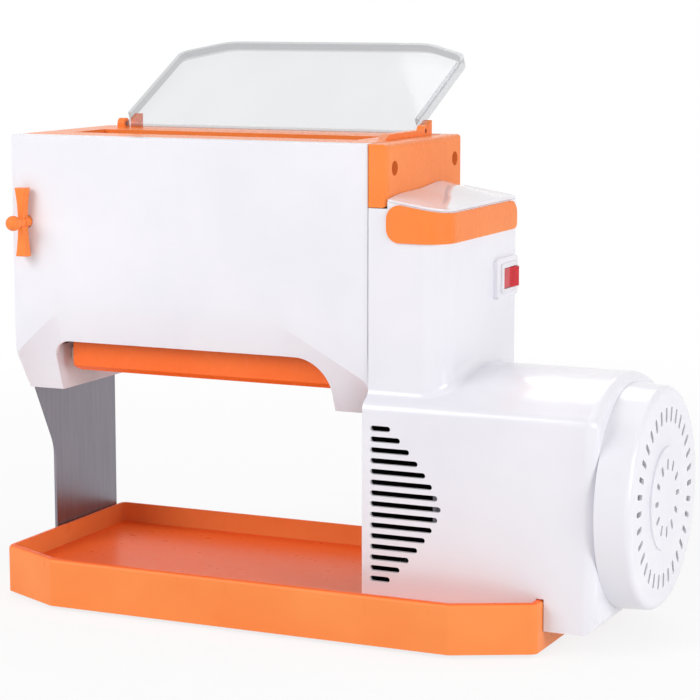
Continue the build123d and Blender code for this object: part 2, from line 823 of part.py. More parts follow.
def feed_chute():
    """Clear feed tray with a raised rim on three sides, hinged at its front edge."""
    plan = chute_plan()
    hollow = offset(plan, -chute_rim_width)
    open_end = block(chute_left_x + chute_rim_width, chute_right_x - chute_rim_width,
                     -1, chute_rim_start + chute_rim_width,
                     chute_thickness, chute_thickness + chute_rim_height + 1)
    tray = extrude(plan, chute_thickness + chute_rim_height)
    tray = tray - Pos(0, 0, chute_thickness) * extrude(hollow, chute_rim_height + 1) - open_end
    tray = Pos(0, 0, -chute_thickness / 2) * tray
    tray = tray - block(chute_left_x - 1, chute_right_x + 1, -1, chute_rim_start, chute_thickness / 2, 20)
    bar = rod_x(chute_left_x, chute_right_x, 0, 0, hinge_pin_radius + hinge_bar_wall)
    pins = rod_x(chute_left_x - hinge_pin_length, chute_right_x + hinge_pin_length, 0, 0, hinge_pin_radius)
    return Pos(0, hinge_y, hinge_z) * Rot(chute_angle, 0, 0) * (tray + bar + pins)


def bush(inside_x, outside_x, y, z, journal):
    """A flanged bush in a side plate; its flange lies against the plate's inner face."""
    flange_x = inside_x + (flange_thickness if inside_x > outside_x else -flange_thickness)
    body = rod_x(min(inside_x, outside_x), max(inside_x, outside_x), y, z, journal + bush_wall)
    flange = rod_x(min(inside_x, flange_x), max(inside_x, flange_x), y, z, journal + bush_wall + flange_width)
    return body + flange - rod_x(left_outside - 5, gear_plate_right + 5, y, z, journal + running_gap)


def press_bushes():
    left = bush(0, left_outside, press_back_y, press_axis_z, press_journal_radius)
    right = bush(right_plate_x, right_outside, press_back_y, press_axis_z, press_journal_radius)
    return Compound(children=[left, right])


def cutter_bushes():
    pieces = []
    for y, z in cutter_axes:
        pieces.append(bush(0, left_outside, y, z, cutter_journal_radius))
        pieces.append(bush(right_plate_x, right_outside, y, z, cutter_journal_radius))
    pieces.append(bush(gear_plate_x, gear_plate_right, cutter_back_y, cutter_axis_z, cutter_journal_radius))
    return Compound(children=pieces)


def bearing_caps():
    """Pressed caps over the roller ends on the left side plate."""
    ends = [(press_back_y, press_axis_z, press_journal_radius)]
    ends += [(y, z, cutter_journal_radius) for y, z in cutter_axes]
    caps = []
    for y, z, journal in ends:
        cap = rod_x(left_outside - cap_thickness, left_outside, y, z, journal + bush_wall + flange_thickness)
        caps.append(fillet(cap.edges().group_by(Axis.X)[0], cap_edge))
    return Compound(children=caps)


def press_roller(y, left_end, right_end):
    """Smooth steel roller with a journal at each end."""
    barrel = rod_x(roller_left_x, roller_right_x, y, press_axis_z, press_radius)
    barrel = chamfer(barrel.edges().filter_by(GeomType.CIRCLE), 0.8)
    return barrel + rod_x(left_end, right_end, y, press_axis_z, press_journal_radius)


def cutter_roller(y, ring_start, right_end):
    """Grooved steel roller: cutting rings on a core, with a journal at each end."""
    roller = rod_x(cutter_left_x, cutter_right_x, y, cutter_axis_z, cutter_core_radius)
    roller = roller + rod_x(left_outside + 0.3, right_end, y, cutter_axis_z, cutter_journal_radius)
    for ring in range(ring_count):
        x = ring_start + ring * ring_pitch
        roller = roller + rod_x(x, x + ring_width, y, cutter_axis_z, cutter_ring_radius)
    return roller


def rear_cutter_roller():
    return cutter_roller(cutter_back_y, first_ring_x + ring_pitch / 2, gear_plate_right - clear_gap)


def comb(front):
    """Stripper comb under a cutter roller; its tines reach into the roller's grooves."""
    y = cutter_front_y
    z = cutter_axis_z
    tine = [
        (comb_spine[0] + 0.5, comb_top_z - 0.2),
        polar(y, z, cutter_core_radius + 2.0, -62),
        polar(y, z, cutter_core_radius + 0.5, -42),
        polar(y, z, cutter_core_radius + 2.2, -45),
        (comb_spine[1], comb_top_z - 0.2),
    ]
    x0 = outlet_left_x + clear_gap
    x1 = outlet_right_x - clear_gap
    shift = 0 if front else ring_pitch / 2
    pieces = block(x0, x1, comb_spine[0], comb_spine[1], comb_bottom_z, comb_top_z)
    for number in range(ring_count - 1):
        middle = first_ring_x + shift + ring_width + (ring_pitch - ring_width) / 2 + number * ring_pitch
        pieces = pieces + side_profile(tine, middle - comb_tine / 2, middle + comb_tine / 2)
    if front:
        return pieces
    return mirror(pieces, about=Plane.XZ.offset(-cutter_nip_y))


def outlet_lip():
    """Rounded bar across the outlet, over which the noodles come out."""
    lip_right_x = outlet_right_x - clear_gap
    section = [
        (lip_front_y + 1, lip_top_z),
        (lip_front_y, lip_top_z - 1.5),
        (lip_front_y, lip_bottom_z + 2.5),
        (lip_front_y + 2.5, lip_bottom_z),
        (lip_back_y, lip_bottom_z + 2),
        (lip_back_y, lip_back_top_z),
        (lip_front_y + 1.8, lip_top_z),
    ]
    bar = side_profile(section, lip_left_x, lip_right_x)
    ends = [
        (lip_left_x, lip_bottom_z),
        (lip_left_x, lip_top_z),
        (lip_right_x, lip_top_z),
        (lip_right_x, lip_bottom_z),
    ]
    face = make_face(Polyline(*ends, close=True))
    for point in ends[0:2]:
        face = fillet(corner(face, point + (0,)), lip_end_radius)
    return bar & front_profile(face, lip_front_y - 5, lip_back_y + 5)


def scraper(mirrored, x0, x1):
    """Thin blade that lies close under a press roller."""
    tip = polar(press_front_y, press_axis_z, press_radius + clear_gap, -72)
    inner = polar(press_front_y, press_axis_z, press_radius + clear_gap + 1.0, -78)
    blade = [
        tip,
        (press_front_y - 7, carriage_bottom_z + 3.4),
        (press_front_y - 6, carriage_bottom_z + 2),
        inner,
    ]
    shape = side_profile(blade, x0, x1)
    if mirrored:
        return mirror(shape, about=Plane.XZ.offset(-nip_y))
    return shape


def carriage_blocks():
    """Bearing blocks of the front roller; their tongues slide in the side plates' windows."""
    low = press_front_y - carriage_half
    high = press_front_y + carriage_half
    bore = rod_x(-5, right_outside + 5, press_front_y, press_axis_z, press_journal_radius + running_gap)
    left_tongue = (left_outside, block_left[0])
    right_tongue = (block_right[1], right_outside)
    blocks = []
    for (x0, x1), tongue in ((block_left, left_tongue), (block_right, right_tongue)):
        piece = block(x0, x1, low, high, carriage_bottom_z, carriage_top_z)
        piece = piece + block(tongue[0], tongue[1],
                              press_front_y - tongue_half_y, press_front_y + tongue_half_y,
                              press_axis_z - tongue_half_z, press_axis_z + tongue_half_z)
        blocks.append(piece - bore)
    nut_radius = adjusting_screw_radius + running_gap
    blocks[0] = blocks[0] - rod_y(knob_x, low - 1, nut_end_y, press_axis_z, nut_radius)
    return Compound(children=blocks)


def carriage_yoke():
    """Bar over the front roller that ties the two bearing blocks together."""
    low = press_front_y - carriage_half
    return block(block_left[1], block_right[0], low, low + 10, carriage_top_z - 5, carriage_top_z - 0.5)


def knob_bracket():
    """Angle on the left side plate that holds the adjusting screw endways."""
    low = press_axis_z - bracket_half
    high = press_axis_z + bracket_half
    back_y = bracket_front_y + bracket_thickness
    web = block(0, knob_x + 6, bracket_front_y, back_y, low, high)
    foot = block(0, plate_thickness, bracket_front_y, back_y + 3.5, low, high)
    hole_radius = adjusting_screw_radius + running_gap
    return web + foot - rod_y(knob_x, bracket_front_y - 1, back_y + 1, press_axis_z, hole_radius)


def adjusting_screw():
    """Screw with two collars that turns in the bracket and drives the left bearing block."""
    tip = nut_end_y - gap_travel - clear_gap
    body = rod_y(knob_x, screw_front_end_y, tip, press_axis_z, adjusting_screw_radius)
    front_collar_y = bracket_front_y - clear_gap - collar_width
    back_collar_y = bracket_front_y + bracket_thickness + clear_gap
    for y in (front_collar_y, back_collar_y):
        body = body + rod_y(knob_x, y, y + collar_width, press_axis_z, adjusting_screw_radius + collar_step)
    return body


def thickness_knob():
    """Bow-tie bar with a ball hub in front and a stem through the cover."""
    tip = knob_bar_tip / 2
    waist = knob_bar_waist / 2
    half = knob_bar_height / 2
    right = ThreePointArc((tip, -half), (waist, 0), (tip, half))
    left = ThreePointArc((-tip, half), (-waist, 0), (-tip, -half))
    lines = [right, Line((tip, half), (-tip, half)), left, Line((-tip, -half), (tip, -half))]
    bar_front = front_y - knob_gap - knob_bar_depth
    bar = front_profile(make_face(lines), bar_front, bar_front + knob_bar_depth)
    bar = fillet(bar.edges().group_by(Axis.Y)[0], 0.8)
    ball_y = bar_front - knob_hub_length + knob_hub_radius
    hub = Pos(0, ball_y, 0) * Sphere(knob_hub_radius)
    neck = rod_y(0, ball_y, bar_front + 2, 0, knob_neck_radius)
    stem = rod_y(0, bar_front + 2, stem_end_y, 0, knob_stem_radius)
    knob = Pos(knob_x, 0, press_axis_z) * (bar + hub + neck + stem)
    hole_radius = adjusting_screw_radius + seat_gap
    return knob - rod_y(knob_x, screw_front_end_y - seat_gap, stem_end_y + 1, press_axis_z, hole_radius)


# ---- gear train ----

def cutter_output_gear():
    return gear(cutter_output_teeth, coarse_module, cutter_back_y, cutter_axis_z, 0, layer_a,
                cutter_journal_radius + seat_gap)


def idler_gear():
    return gear(idler_teeth, coarse_module, idler_y, idler_z, idler_turn, layer_a, stud_radius + running_gap)


def rear_press_gear():
    return gear(press_gear_teeth, coarse_module, press_back_y, press_axis_z, back_press_turn, layer_a,
                press_journal_radius + seat_gap)


def front_press_gear():
    return gear(press_gear_teeth, coarse_module, press_front_y, press_axis_z, front_press_turn, layer_a,
                press_journal_radius + seat_gap)


def rear_cutter_gear():
    return gear(cutter_pair_teeth, middle_module, cutter_back_y, cutter_axis_z, 0, layer_b,
                cutter_journal_radius + seat_gap)


def front_cutter_gear():
    return gear(cutter_pair_teeth, middle_module, cutter_front_y, cutter_axis_z, front_cutter_turn, layer_b,
                cutter_journal_radius + seat_gap)


def cutter_input_gear():
    """Large gear on the rear cutter's shaft, with holes that lighten its web."""
    wheel = gear(second_gear_teeth, middle_module, cutter_back_y, cutter_axis_z, second_gear_turn, layer_c,
                 cutter_journal_radius + seat_gap)
    ring = middle_module * second_gear_teeth / 2 * web_hole_share
    for number in range(web_holes):
        y, z = polar(cutter_back_y, cutter_axis_z, ring, number * 360 / web_holes)
        wheel = wheel - rod_x(layer_c[0] - 1, layer_c[1] + 1, y, z, web_hole_radius)
    return wheel


def reduction_gear():
    """First large gear with its small gear, moulded as one cluster that turns on a stud."""
    bore = stud_radius + running_gap
    large = gear(first_gear_teeth, fine_module, reduction_y, reduction_z, first_gear_turn, layer_d, bore)
    ring = fine_module * first_gear_teeth / 2 * web_hole_share
    for number in range(web_holes):
        y, z = polar(reduction_y, reduction_z, ring, number * 360 / web_holes)
        large = large - rod_x(layer_d[0] - 1, layer_d[1] + 1, y, z, web_hole_radius)
    small = gear(second_pinion_teeth, middle_module, reduction_y, reduction_z, 0, layer_c, bore)
    hub = rod_x(layer_c[1], layer_d[0], reduction_y, reduction_z, stud_radius + 3)
    return large + small + (hub - rod_x(layer_c[1] - 1, layer_d[0] + 1, reduction_y, reduction_z, bore))


def motor_pinion():
    layer = (layer_d[0] - pinion_overhang, layer_d[1] + pinion_overhang)
    return gear(motor_pinion_teeth, fine_module, motor_y, motor_z, 0, layer, pinion_seat_radius + seat_gap)


def idler_stud():
    """Riveted stud on the right side plate with a shoulder and a head around the idler gear."""
    stud = rod_x(right_plate_x, right_outside, idler_y, idler_z, stud_rivet_radius)
    stud = stud + rod_x(right_outside, layer_a[0] - stud_gap, idler_y, idler_z, stud_radius + stud_step)
    stud = stud + rod_x(layer_a[0] - stud_gap, layer_a[1] + stud_gap, idler_y, idler_z, stud_radius)
    return stud + rod_x(layer_a[1] + stud_gap, layer_a[1] + 0.9, idler_y, idler_z, stud_radius + stud_step)


def reduction_stud():
    """Riveted stud on the gear plate that carries the reduction gear."""
    stud = rod_x(gear_plate_x, gear_plate_right, reduction_y, reduction_z, stud_rivet_radius)
    left_end = layer_c[0] - stud_gap
    right_end = layer_d[1] + stud_gap
    wide = stud_radius + stud_step
    stud = stud + rod_x(right_end, gear_plate_x, reduction_y, reduction_z, wide)
    stud = stud + rod_x(left_end, right_end, reduction_y, reduction_z, stud_radius)
    return stud + rod_x(layer_c[0] - 1.0, left_end, reduction_y, reduction_z, wide)


def gear_plate():
    """Steel plate that carries the motor, the reduction gear and the end of the rear cutter's shaft."""
    face = make_face(Polyline((plate_low_y, plate_low_z), (plate_low_y, plate_high_z),
                              (plate_high_y, plate_high_z), (plate_high_y, plate_low_z), close=True))
    face = fillet(face.vertices(), gear_plate_corner)
    plate = side_slab(face, gear_plate_x, gear_plate_right)
    holes = [(cutter_back_y, cutter_axis_z, cutter_journal_radius + bush_wall + seat_gap)]
    holes += [(reduction_y, reduction_z, stud_rivet_radius + seat_gap)]
    holes += [(motor_y, motor_z, motor_shaft_radius + shaft_hole_gap)]
    holes += [(y, z, rivet_radius + seat_gap) for y, z in pillar_spots]
    holes += [(y, z, screw_radius + screw_gap) for y, z in motor_screw_spots]
    holes += [(capacitor_y, capacitor_z, capacitor_stud_radius + screw_gap)]
    for y, z, radius in holes:
        plate = plate - rod_x(gear_plate_x - 1, gear_plate_right + 1, y, z, radius)
    return plate


def gear_plate_pillars():
    """Spacers riveted to the right side plate and to the gear plate."""
    pillars = []
    for y, z in pillar_spots:
        pillar = rod_x(right_outside, gear_plate_x, y, z, pillar_radius)
        pillars.append(pillar + rod_x(right_plate_x, gear_plate_right, y, z, rivet_radius))
    return Compound(children=pillars)


# ---- motor ----

def motor_stator():
    stator = rod_x(stator_left_x, stator_right_x, motor_y, motor_z, stator_radius)
    return stator - rod_x(stator_left_x - 1, stator_right_x + 1, motor_y, motor_z, rotor_radius + rotor_gap)


def motor_windings():
    """Copper end turns on both sides of the stator."""
    coil = Rot(0, 90, 0) * Torus(winding_radius, winding_thickness)
    reach = winding_thickness + seat_gap * 2
    left = Pos(stator_left_x - reach, motor_y, motor_z) * coil
    right = Pos(stator_right_x + reach, motor_y, motor_z) * coil
    return Compound(children=[left, right])


def motor_end_bells():
    """Cast cups at both ends of the stator, each with a bearing for the shaft."""
    bells = []
    left_bell = (gear_plate_right, stator_left_x, 1)
    right_bell = (stator_right_x, stator_right_x + bell_length, -1)
    for x0, x1, floor_x in (left_bell, right_bell):
        bell = rod_x(x0, x1, motor_y, motor_z, stator_radius)
        cavity = (x0 + bell_wall, x1 + 1) if floor_x > 0 else (x0 - 1, x1 - bell_wall)
        bell = bell - rod_x(cavity[0], cavity[1], motor_y, motor_z, stator_radius - bell_wall)
        boss = (x0, x0 + bell_boss_length) if floor_x > 0 else (x1 - bell_boss_length, x1)
        bell = bell + rod_x(boss[0], boss[1], motor_y, motor_z, motor_shaft_radius + bell_boss_wall)
        bells.append(bell - rod_x(x0 - 1, x1 + 1, motor_y, motor_z, motor_shaft_radius + running_gap))
    for y, z in motor_screw_spots:
        hole_end = gear_plate_right + bell_wall + 1
        bells[0] = bells[0] - rod_x(gear_plate_right - 1, hole_end, y, z, screw_radius + seat_gap)
    return Compound(children=bells)


def motor_screws():
    tip = gear_plate_right + bell_wall + 1.5
    return Compound(children=[screw_x(gear_plate_x, y, z, tip) for y, z in motor_screw_spots])


def motor_shaft():
    """Shaft with a thinner seat for the pinion and a long end for the fan."""
    step_x = layer_d[1] + pinion_overhang
    seat = rod_x(layer_d[0] - pinion_overhang, step_x, motor_y, motor_z, pinion_seat_radius)
    return seat + rod_x(step_x, fan_left_x + fan_depth, motor_y, motor_z, motor_shaft_radius)


def rotor_core():
    left = stator_left_x + rotor_setback
    right = stator_right_x - rotor_setback
    core = rod_x(left, right, motor_y, motor_z, rotor_radius)
    return core - rod_x(stator_left_x, stator_right_x, motor_y, motor_z, motor_shaft_radius + seat_gap)


def cooling_fan():
    """Radial fan: a back disc and a hub that carry flat blades."""
    hub_end = fan_left_x + fan_depth - fan_hub_setback
    blade_end = fan_left_x + fan_depth - fan_blade_setback
    blade_root = motor_shaft_radius + fan_hub_wall - 1
    bore = motor_shaft_radius + seat_gap
    hub = rod_x(fan_left_x, hub_end, motor_y, motor_z, motor_shaft_radius + fan_hub_wall)
    fan = hub + rod_x(fan_left_x, fan_left_x + fan_disc, motor_y, motor_z, fan_radius)
    for number in range(fan_blades):
        blade = block(fan_left_x + fan_disc / 2, blade_end, blade_root, fan_radius - 1,
                      -fan_blade_half, fan_blade_half)
        fan = fan + Pos(0, motor_y, motor_z) * Rot(number * 360 / fan_blades, 0, 0) * blade
    return fan - rod_x(fan_left_x - 1, fan_left_x + fan_depth, motor_y, motor_z, bore)


def motor_mounts():
    """Rubber saddles between the tray's floor and the motor."""
    mounts = []
    top = motor_z - stator_radius + mount_rise
    for x in (stator_left_x + mount_inset, stator_right_x - mount_inset - mount_width):
        mount = block(x, x + mount_width, motor_y - mount_depth / 2, motor_y + mount_depth / 2,
                      floor_top, top)
        mounts.append(mount - rod_x(x - 1, x + mount_width + 1, motor_y, motor_z, stator_radius + seat_gap))
    return Compound(children=mounts)


def run_capacitor():
    """Capacitor bolted to the gear plate by its own stud."""
    can_end = gear_plate_right + capacitor_length
    can = rod_x(gear_plate_right, can_end, capacitor_y, capacitor_z, capacitor_radius)
    can = fillet(can.edges().group_by(Axis.X)[-1], 2.0)
    stud_end = gear_plate_x - capacitor_stud_reach
    stud = rod_x(stud_end, gear_plate_right, capacitor_y, capacitor_z, capacitor_stud_radius)
    hexagon = RegularPolygon(capacitor_stud_radius + capacitor_nut_wall, 6)
    nut = side_slab(hexagon, gear_plate_x - capacitor_nut_height, gear_plate_x)
    return can + stud + Pos(0, capacitor_y, capacitor_z) * nut


# ---- drive housing ----

def housing_profile(inset, x0, x1, low_z):
    """Solid under the motor housing's outline: upright sides and a shallow arch on top."""
    y0 = housing_front_y + inset
    y1 = housing_back_y - inset
    crease = housing_crease_z - inset * 0.5
    crown = housing_crease_z + housing_arch_rise - inset
    walls = Polyline((y0, crease), (y0, low_z), (y1, low_z), (y1, crease))
    arch = ThreePointArc((y1, crease), (housing_middle_y, crown), (y0, crease))
    return side_slab(make_face(walls + arch), x0, x1)


def column_solid(grow, x0, z0, z1):
    """The column's solid, well rounded at its front right corner, made larger all round by grow."""
    x1 = column_right_x + grow
    y0 = column_front_y - grow
    y1 = housing_back_y + grow
    face = make_face(Polyline((x0, y0), (x1, y0), (x1, y1), (x0, y1), close=True))
    face = fillet(corner(face, (x1, y0, 0)), column_front_radius + grow)
    face = fillet(corner(face, (x1, y1, 0)), column_back_radius + grow)
    return Pos(0, 0, z0) * extrude(face, z1 - z0)


def column_slope_z(x):
    """Height of the column's slanting upper edge."""
    run = column_right_x - gear_cover_right_x
    return column_rise_z + (column_fall_z - column_rise_z) * (x - gear_cover_right_x) / run


def band_shape(grow):
    """The band around the column's front and right side, with rounded ends."""
    inner_grow = band_proud - band_depth - grow
    ring = column_solid(band_proud, drive_left_x, band_bottom_z - grow, column_rise_z + 1)
    ring = ring - column_solid(inner_grow, drive_left_x - 1, band_bottom_z - 5, column_rise_z + 2)
    left = band_left_x - grow
    right = column_right_x + band_proud + 1
    low = band_bottom_z - grow
    drop = band_edge_drop - grow
    face = make_face(Polyline((left, low), (left, column_slope_z(left) - drop),
                              (right, column_slope_z(right) - drop), (right, low), close=True))
    for point in ((left, low, 0), (left, column_slope_z(left) - drop, 0)):
        face = fillet(corner(face, point), band_end_radius)
    band = ring & front_profile(face, column_front_y - 5, housing_back_y + 5)
    end_y = band_back_y + grow
    band = band & block(drive_left_x, right, column_front_y - 5, end_y, low, column_rise_z + 2)
    top = column_slope_z(column_right_x) - drop
    tail_x = column_right_x - column_back_radius - band_depth
    high_y = end_y - band_tail_radius
    high_z = top - band_tail_radius
    high_wedge = block(tail_x, right, high_y, end_y + 1, high_z, top + 5)
    high_wedge = high_wedge - rod_x(tail_x - 1, right + 1, high_y, high_z, band_tail_radius)
    low_y = end_y - band_tail_low_radius
    low_z = low + band_tail_low_radius
    low_wedge = block(tail_x, right, low_y, end_y + 1, low - 1, low_z)
    low_wedge = low_wedge - rod_x(tail_x - 1, right + 1, low_y, low_z, band_tail_low_radius)
    return band - high_wedge - low_wedge


def column_band():
    return band_shape(0)


def drive_housing():
    """One-piece shell of the column and the motor housing, open at the left and towards the tray's floor."""
    low_z = floor_top + clear_gap
    outer = housing_profile(0, drive_left_x, housing_right_x, housing_low_z)
    outer = fillet(outer.edges().group_by(Axis.X)[-1], edge_radius)
    creases = outer.edges().filter_by(Axis.X).group_by(Axis.Z)[-1]
    outer = fillet(creases, edge_radius)
    column = column_solid(0, drive_left_x, housing_crease_z - 10, column_rise_z)
    shell = outer + column
    highest = housing_crease_z + housing_arch_rise + 1
    upright = [e for e in shell.edges() if abs(e.center().X - column_right_x) < 0.5]
    joints = [e for e in upright if e.length > 70 and e.center().Z < highest]
    shell = fillet(joints, shoulder_radius)
    wall = housing_wall
    hollow = housing_profile(wall, drive_left_x - 1, housing_right_x - wall, housing_low_z + wall)
    hollow = hollow + column_solid(-wall, drive_left_x - 1, housing_crease_z - 5, column_rise_z + 1)
    shell = shell - hollow
    shell = shell - block(drive_left_x - 1, tray_length - tray_wall - rim_gap, 0, tray_depth, 0, low_z)
    shell = saddle_over_rim(shell, low_z)
    top_left = block(drive_left_x - 1, gear_cover_right_x + clear_gap, 0, tray_depth,
                     column_top_z, cover_top_z)
    beyond_x = column_right_x + 5
    slope = [
        (gear_cover_right_x, column_slope_z(gear_cover_right_x)),
        (beyond_x, column_slope_z(beyond_x)),
        (beyond_x, cover_top_z),
        (gear_cover_right_x, cover_top_z),
    ]
    top_right = front_profile(make_face(Polyline(*slope, close=True)), 0, tray_depth)
    shell = shell - top_left - top_right - band_shape(seat_gap)
    shell = shell - rod_x(housing_right_x - 5, housing_right_x + 1, motor_y, motor_z, fan_hole_radius)
    shell = shell + switch_pad() - switch_hole()
    for x, y in housing_screw_spots:
        front_boss = (housing_front_y + wall / 2, y + boss_half)
        back_boss = (y - boss_half, housing_back_y - wall / 2)
        inner = front_boss if y < motor_y else back_boss
        boss = block(x - boss_half, x + boss_half, inner[0], inner[1], low_z, floor_top + boss_height)
        bore_top_z = floor_top + housing_screw_depth + 1
        shell = shell + boss - rod_z(x, y, low_z - 1, bore_top_z, screw_radius + seat_gap)
    for slot in vent_slots():
        shell = shell - slot
    gland_hole = gland_radius + seat_gap
    return shell - rod_y(gland_x, housing_back_y - wall - 1, housing_back_y + 1, gland_z, gland_hole)


def saddle_over_rim(shell, low_z):
    """Cuts the notch for the tray's rim and closes it with a saddle."""
    left = tray_length - tray_wall - rim_gap
    right = tray_length + rim_gap
    top = tray_height + rim_gap
    wall = housing_wall
    front = housing_front_y + wall / 2
    back = housing_back_y - wall / 2
    saddle = block(left - wall, right + wall, front, back, low_z, top + wall)
    low = block(right, right + wall, front, back, housing_low_z + wall / 2, low_z)
    return shell + saddle + low - block(left, right, 0, tray_depth, 0, top)


def vent_slots():
    """Rounded slots in the housing's front, longest in the middle row."""
    slots = []
    middle_row = (vent_rows - 1) / 2
    for row in range(vent_rows):
        share = (abs(row - middle_row) / middle_row) ** vent_taper
        length = vent_longest - (vent_longest - vent_shortest) * share
        z = vent_middle_z + (middle_row - row) * vent_pitch
        half = vent_height / 2
        y0 = housing_front_y - 1
        y1 = housing_front_y + housing_wall + 1
        slot = block(vent_left_x + half, vent_left_x + length - half, y0, y1, z - half, z + half)
        for x in (vent_left_x + half, vent_left_x + length - half):
            slot = slot + rod_y(x, y0, y1, z, half)
        slots.append(slot)
    return slots


def switch_pad():
    """Raised pad around the switch on the column's right side."""
    pad = block(column_right_x - 1, column_right_x + pad_rise,
                switch_y - pad_depth / 2, switch_y + pad_depth / 2,
                switch_z - pad_height / 2, switch_z + pad_height / 2)
    pad = fillet(pad.edges().filter_by(Axis.X), 2.5)
    return fillet(pad.edges().group_by(Axis.X)[-1], 1.0)


def switch_hole():
    return block(column_right_x - 5, column_right_x + pad_rise + 1,
                 switch_y - switch_body_half_y - seat_gap, switch_y + switch_body_half_y + seat_gap,
                 switch_z - switch_body_half_z - seat_gap, switch_z + switch_body_half_z + seat_gap)


def switch_body():
    """Snap-in switch body with its bezel and the pocket for the rocker."""
    face_x = column_right_x + pad_rise
    body = block(face_x - switch_body_length, face_x,
                 switch_y - switch_body_half_y, switch_y + switch_body_half_y,
                 switch_z - switch_body_half_z, switch_z + switch_body_half_z)
    bezel = block(face_x, face_x + bezel_rise, switch_y - bezel_depth / 2, switch_y + bezel_depth / 2,
                  switch_z - bezel_height / 2, switch_z + bezel_height / 2)
    bezel = fillet(bezel.edges().filter_by(Axis.X), 1.5)
    body = body + chamfer(bezel.edges().group_by(Axis.X)[-1], 0.5)
    half_y = rocker_depth / 2 + 0.8
    half_z = rocker_height / 2 + clear_gap
    body = body - block(rocker_pivot_x - 4, face_x + 5, switch_y - half_y, switch_y + half_y,
                        switch_z - half_z, switch_z + half_z)
    tag_end = face_x - switch_body_length
    for y in (switch_y - tag_pitch, switch_y, switch_y + tag_pitch):
        tag = block(tag_end - tag_length, tag_end, y - tag_half_y, y + tag_half_y,
                    switch_z - tag_half_z, switch_z + tag_half_z)
        body = body + tag
    low = switch_z - half_z - rocker_pin_depth
    high = switch_z + half_z + rocker_pin_depth
    return body - rod_z(rocker_pivot_x, switch_y, low, high, rocker_pin_radius + running_gap)


def switch_rocker():
    """Rocker with a shallow V face on a pin, standing at its rest tilt."""
    half = rocker_depth / 2
    face_x = column_right_x + pad_rise + bezel_rise - rocker_pivot_x
    points = [
        (-2.2, -3),
        (1, -half - 0.1),
        (face_x + rocker_proud, -half + 0.4),
        (face_x + rocker_proud - 1.2, 0),
        (face_x + rocker_proud, half - 0.4),
        (1, half + 0.1),
        (-2.2, 3),
    ]
    rocker = Pos(0, 0, -rocker_height / 2) * extrude(make_face(Polyline(*points, close=True)), rocker_height)
    pin_half = rocker_height / 2 + clear_gap + rocker_pin_depth - rocker_pin_end_gap
    rocker = rocker + rod_z(0, 0, -pin_half, pin_half, rocker_pin_radius)
    return Pos(rocker_pivot_x, switch_y, switch_z) * Rot(0, 0, -rocker_throw / 2) * rocker


def column_top():
    """Crowned lid on the column, sloping down to the right."""
    x0 = gear_cover_right_x + clear_gap
    sections = []
    for x, crown in ((x0, top_crown), (column_right_x, top_crown * top_right_share)):
        base = column_slope_z(x) + seat_gap
        plane = Plane(origin=(x, 0, 0), x_dir=(0, 1, 0), z_dir=(1, 0, 0))
        outline = Polyline((housing_back_y, base + top_edge), (housing_back_y, base), (column_front_y, base),
                           (column_front_y, base + top_edge))
        low_crown = max(crown * 0.25, top_edge)
        crest = Spline((column_front_y, base + top_edge), (top_front_y, base + max(crown * 0.5, top_edge)),
                       (top_middle_y, base + crown * 0.78), (top_peak_y, base + crown),
                       (top_back_y, base + low_crown), (housing_back_y, base + top_edge))
        sections.append(make_face(plane * (outline + crest)))
    lid = loft(sections, ruled=True)
    lid = lid & column_solid(0, x0, column_fall_z - 5, 300)
    return lid


def gear_cover():
    """Cover over the press roller gears, at the right end of the head."""
    wall = gear_cover_wall
    cover = block(drive_left_x, gear_cover_right_x, column_front_y, gear_cover_back_y,
                  column_top_z + clear_gap, cover_top_z)
    cover = fillet(cover.edges().group_by(Axis.X)[-1], gear_cover_edge)
    cover = cover - block(drive_left_x - 1, gear_cover_right_x - wall,
                          column_front_y + wall, gear_cover_back_y - wall,
                          column_top_z - 5, cover_top_z - wall)
    for y, z in rods[0:2]:
        cover = cover + rod_x(drive_left_x, gear_cover_right_x, y, z, screw_head_radius + rod_boss_wall)
        cover = cover - rod_x(drive_left_x - 1, gear_cover_right_x + 1, y, z, screw_radius + screw_gap)
        recess_x = gear_cover_right_x - rod_screw_recess
        cover = cover - rod_x(recess_x, gear_cover_right_x + 1, y, z, screw_head_radius + clear_gap)
    return cover


def gear_cover_screws():
    head_x = gear_cover_right_x - rod_screw_recess
    return Compound(children=[screw_x(head_x, y, z, right_plate_x - 9) for y, z in rods[0:2]])


def drive_wall():
    """Inner wall that closes the housing's left side, with holes for the shafts, studs and pillars."""
    gap = housing_wall + clear_gap
    x0 = drive_left_x + clear_gap
    x1 = x0 + drive_wall_thickness
    wall = housing_profile(gap, x0, x1, floor_top)
    wall = wall + block(x0, x1, column_front_y + gap, housing_back_y - gap,
                        housing_crease_z - 10, column_top_z - clear_gap)
    holes = [(press_back_y, press_axis_z, press_journal_radius + shaft_hole_gap)]
    holes += [(press_front_y, press_axis_z, press_journal_radius + shaft_hole_gap)]
    holes += [(press_front_y - gap_travel, press_axis_z, press_journal_radius + shaft_hole_gap)]
    holes += [(y, z, cutter_journal_radius + shaft_hole_gap) for y, z in cutter_axes]
    holes += [(idler_y, idler_z, stud_radius + 2), (rod_low_y, rod_low_z, screw_head_radius + 0.5)]
    holes += [(y, z, pillar_radius + seat_gap) for y, z in pillar_spots]
    for y, z, radius in holes:
        wall = wall - rod_x(x0 - 1, x1 + 1, y, z, radius)
    half = press_journal_radius + shaft_hole_gap
    travel = block(x0 - 1, x1 + 1, press_front_y - gap_travel, press_front_y,
                   press_axis_z - half, press_axis_z + half)
    return wall - travel


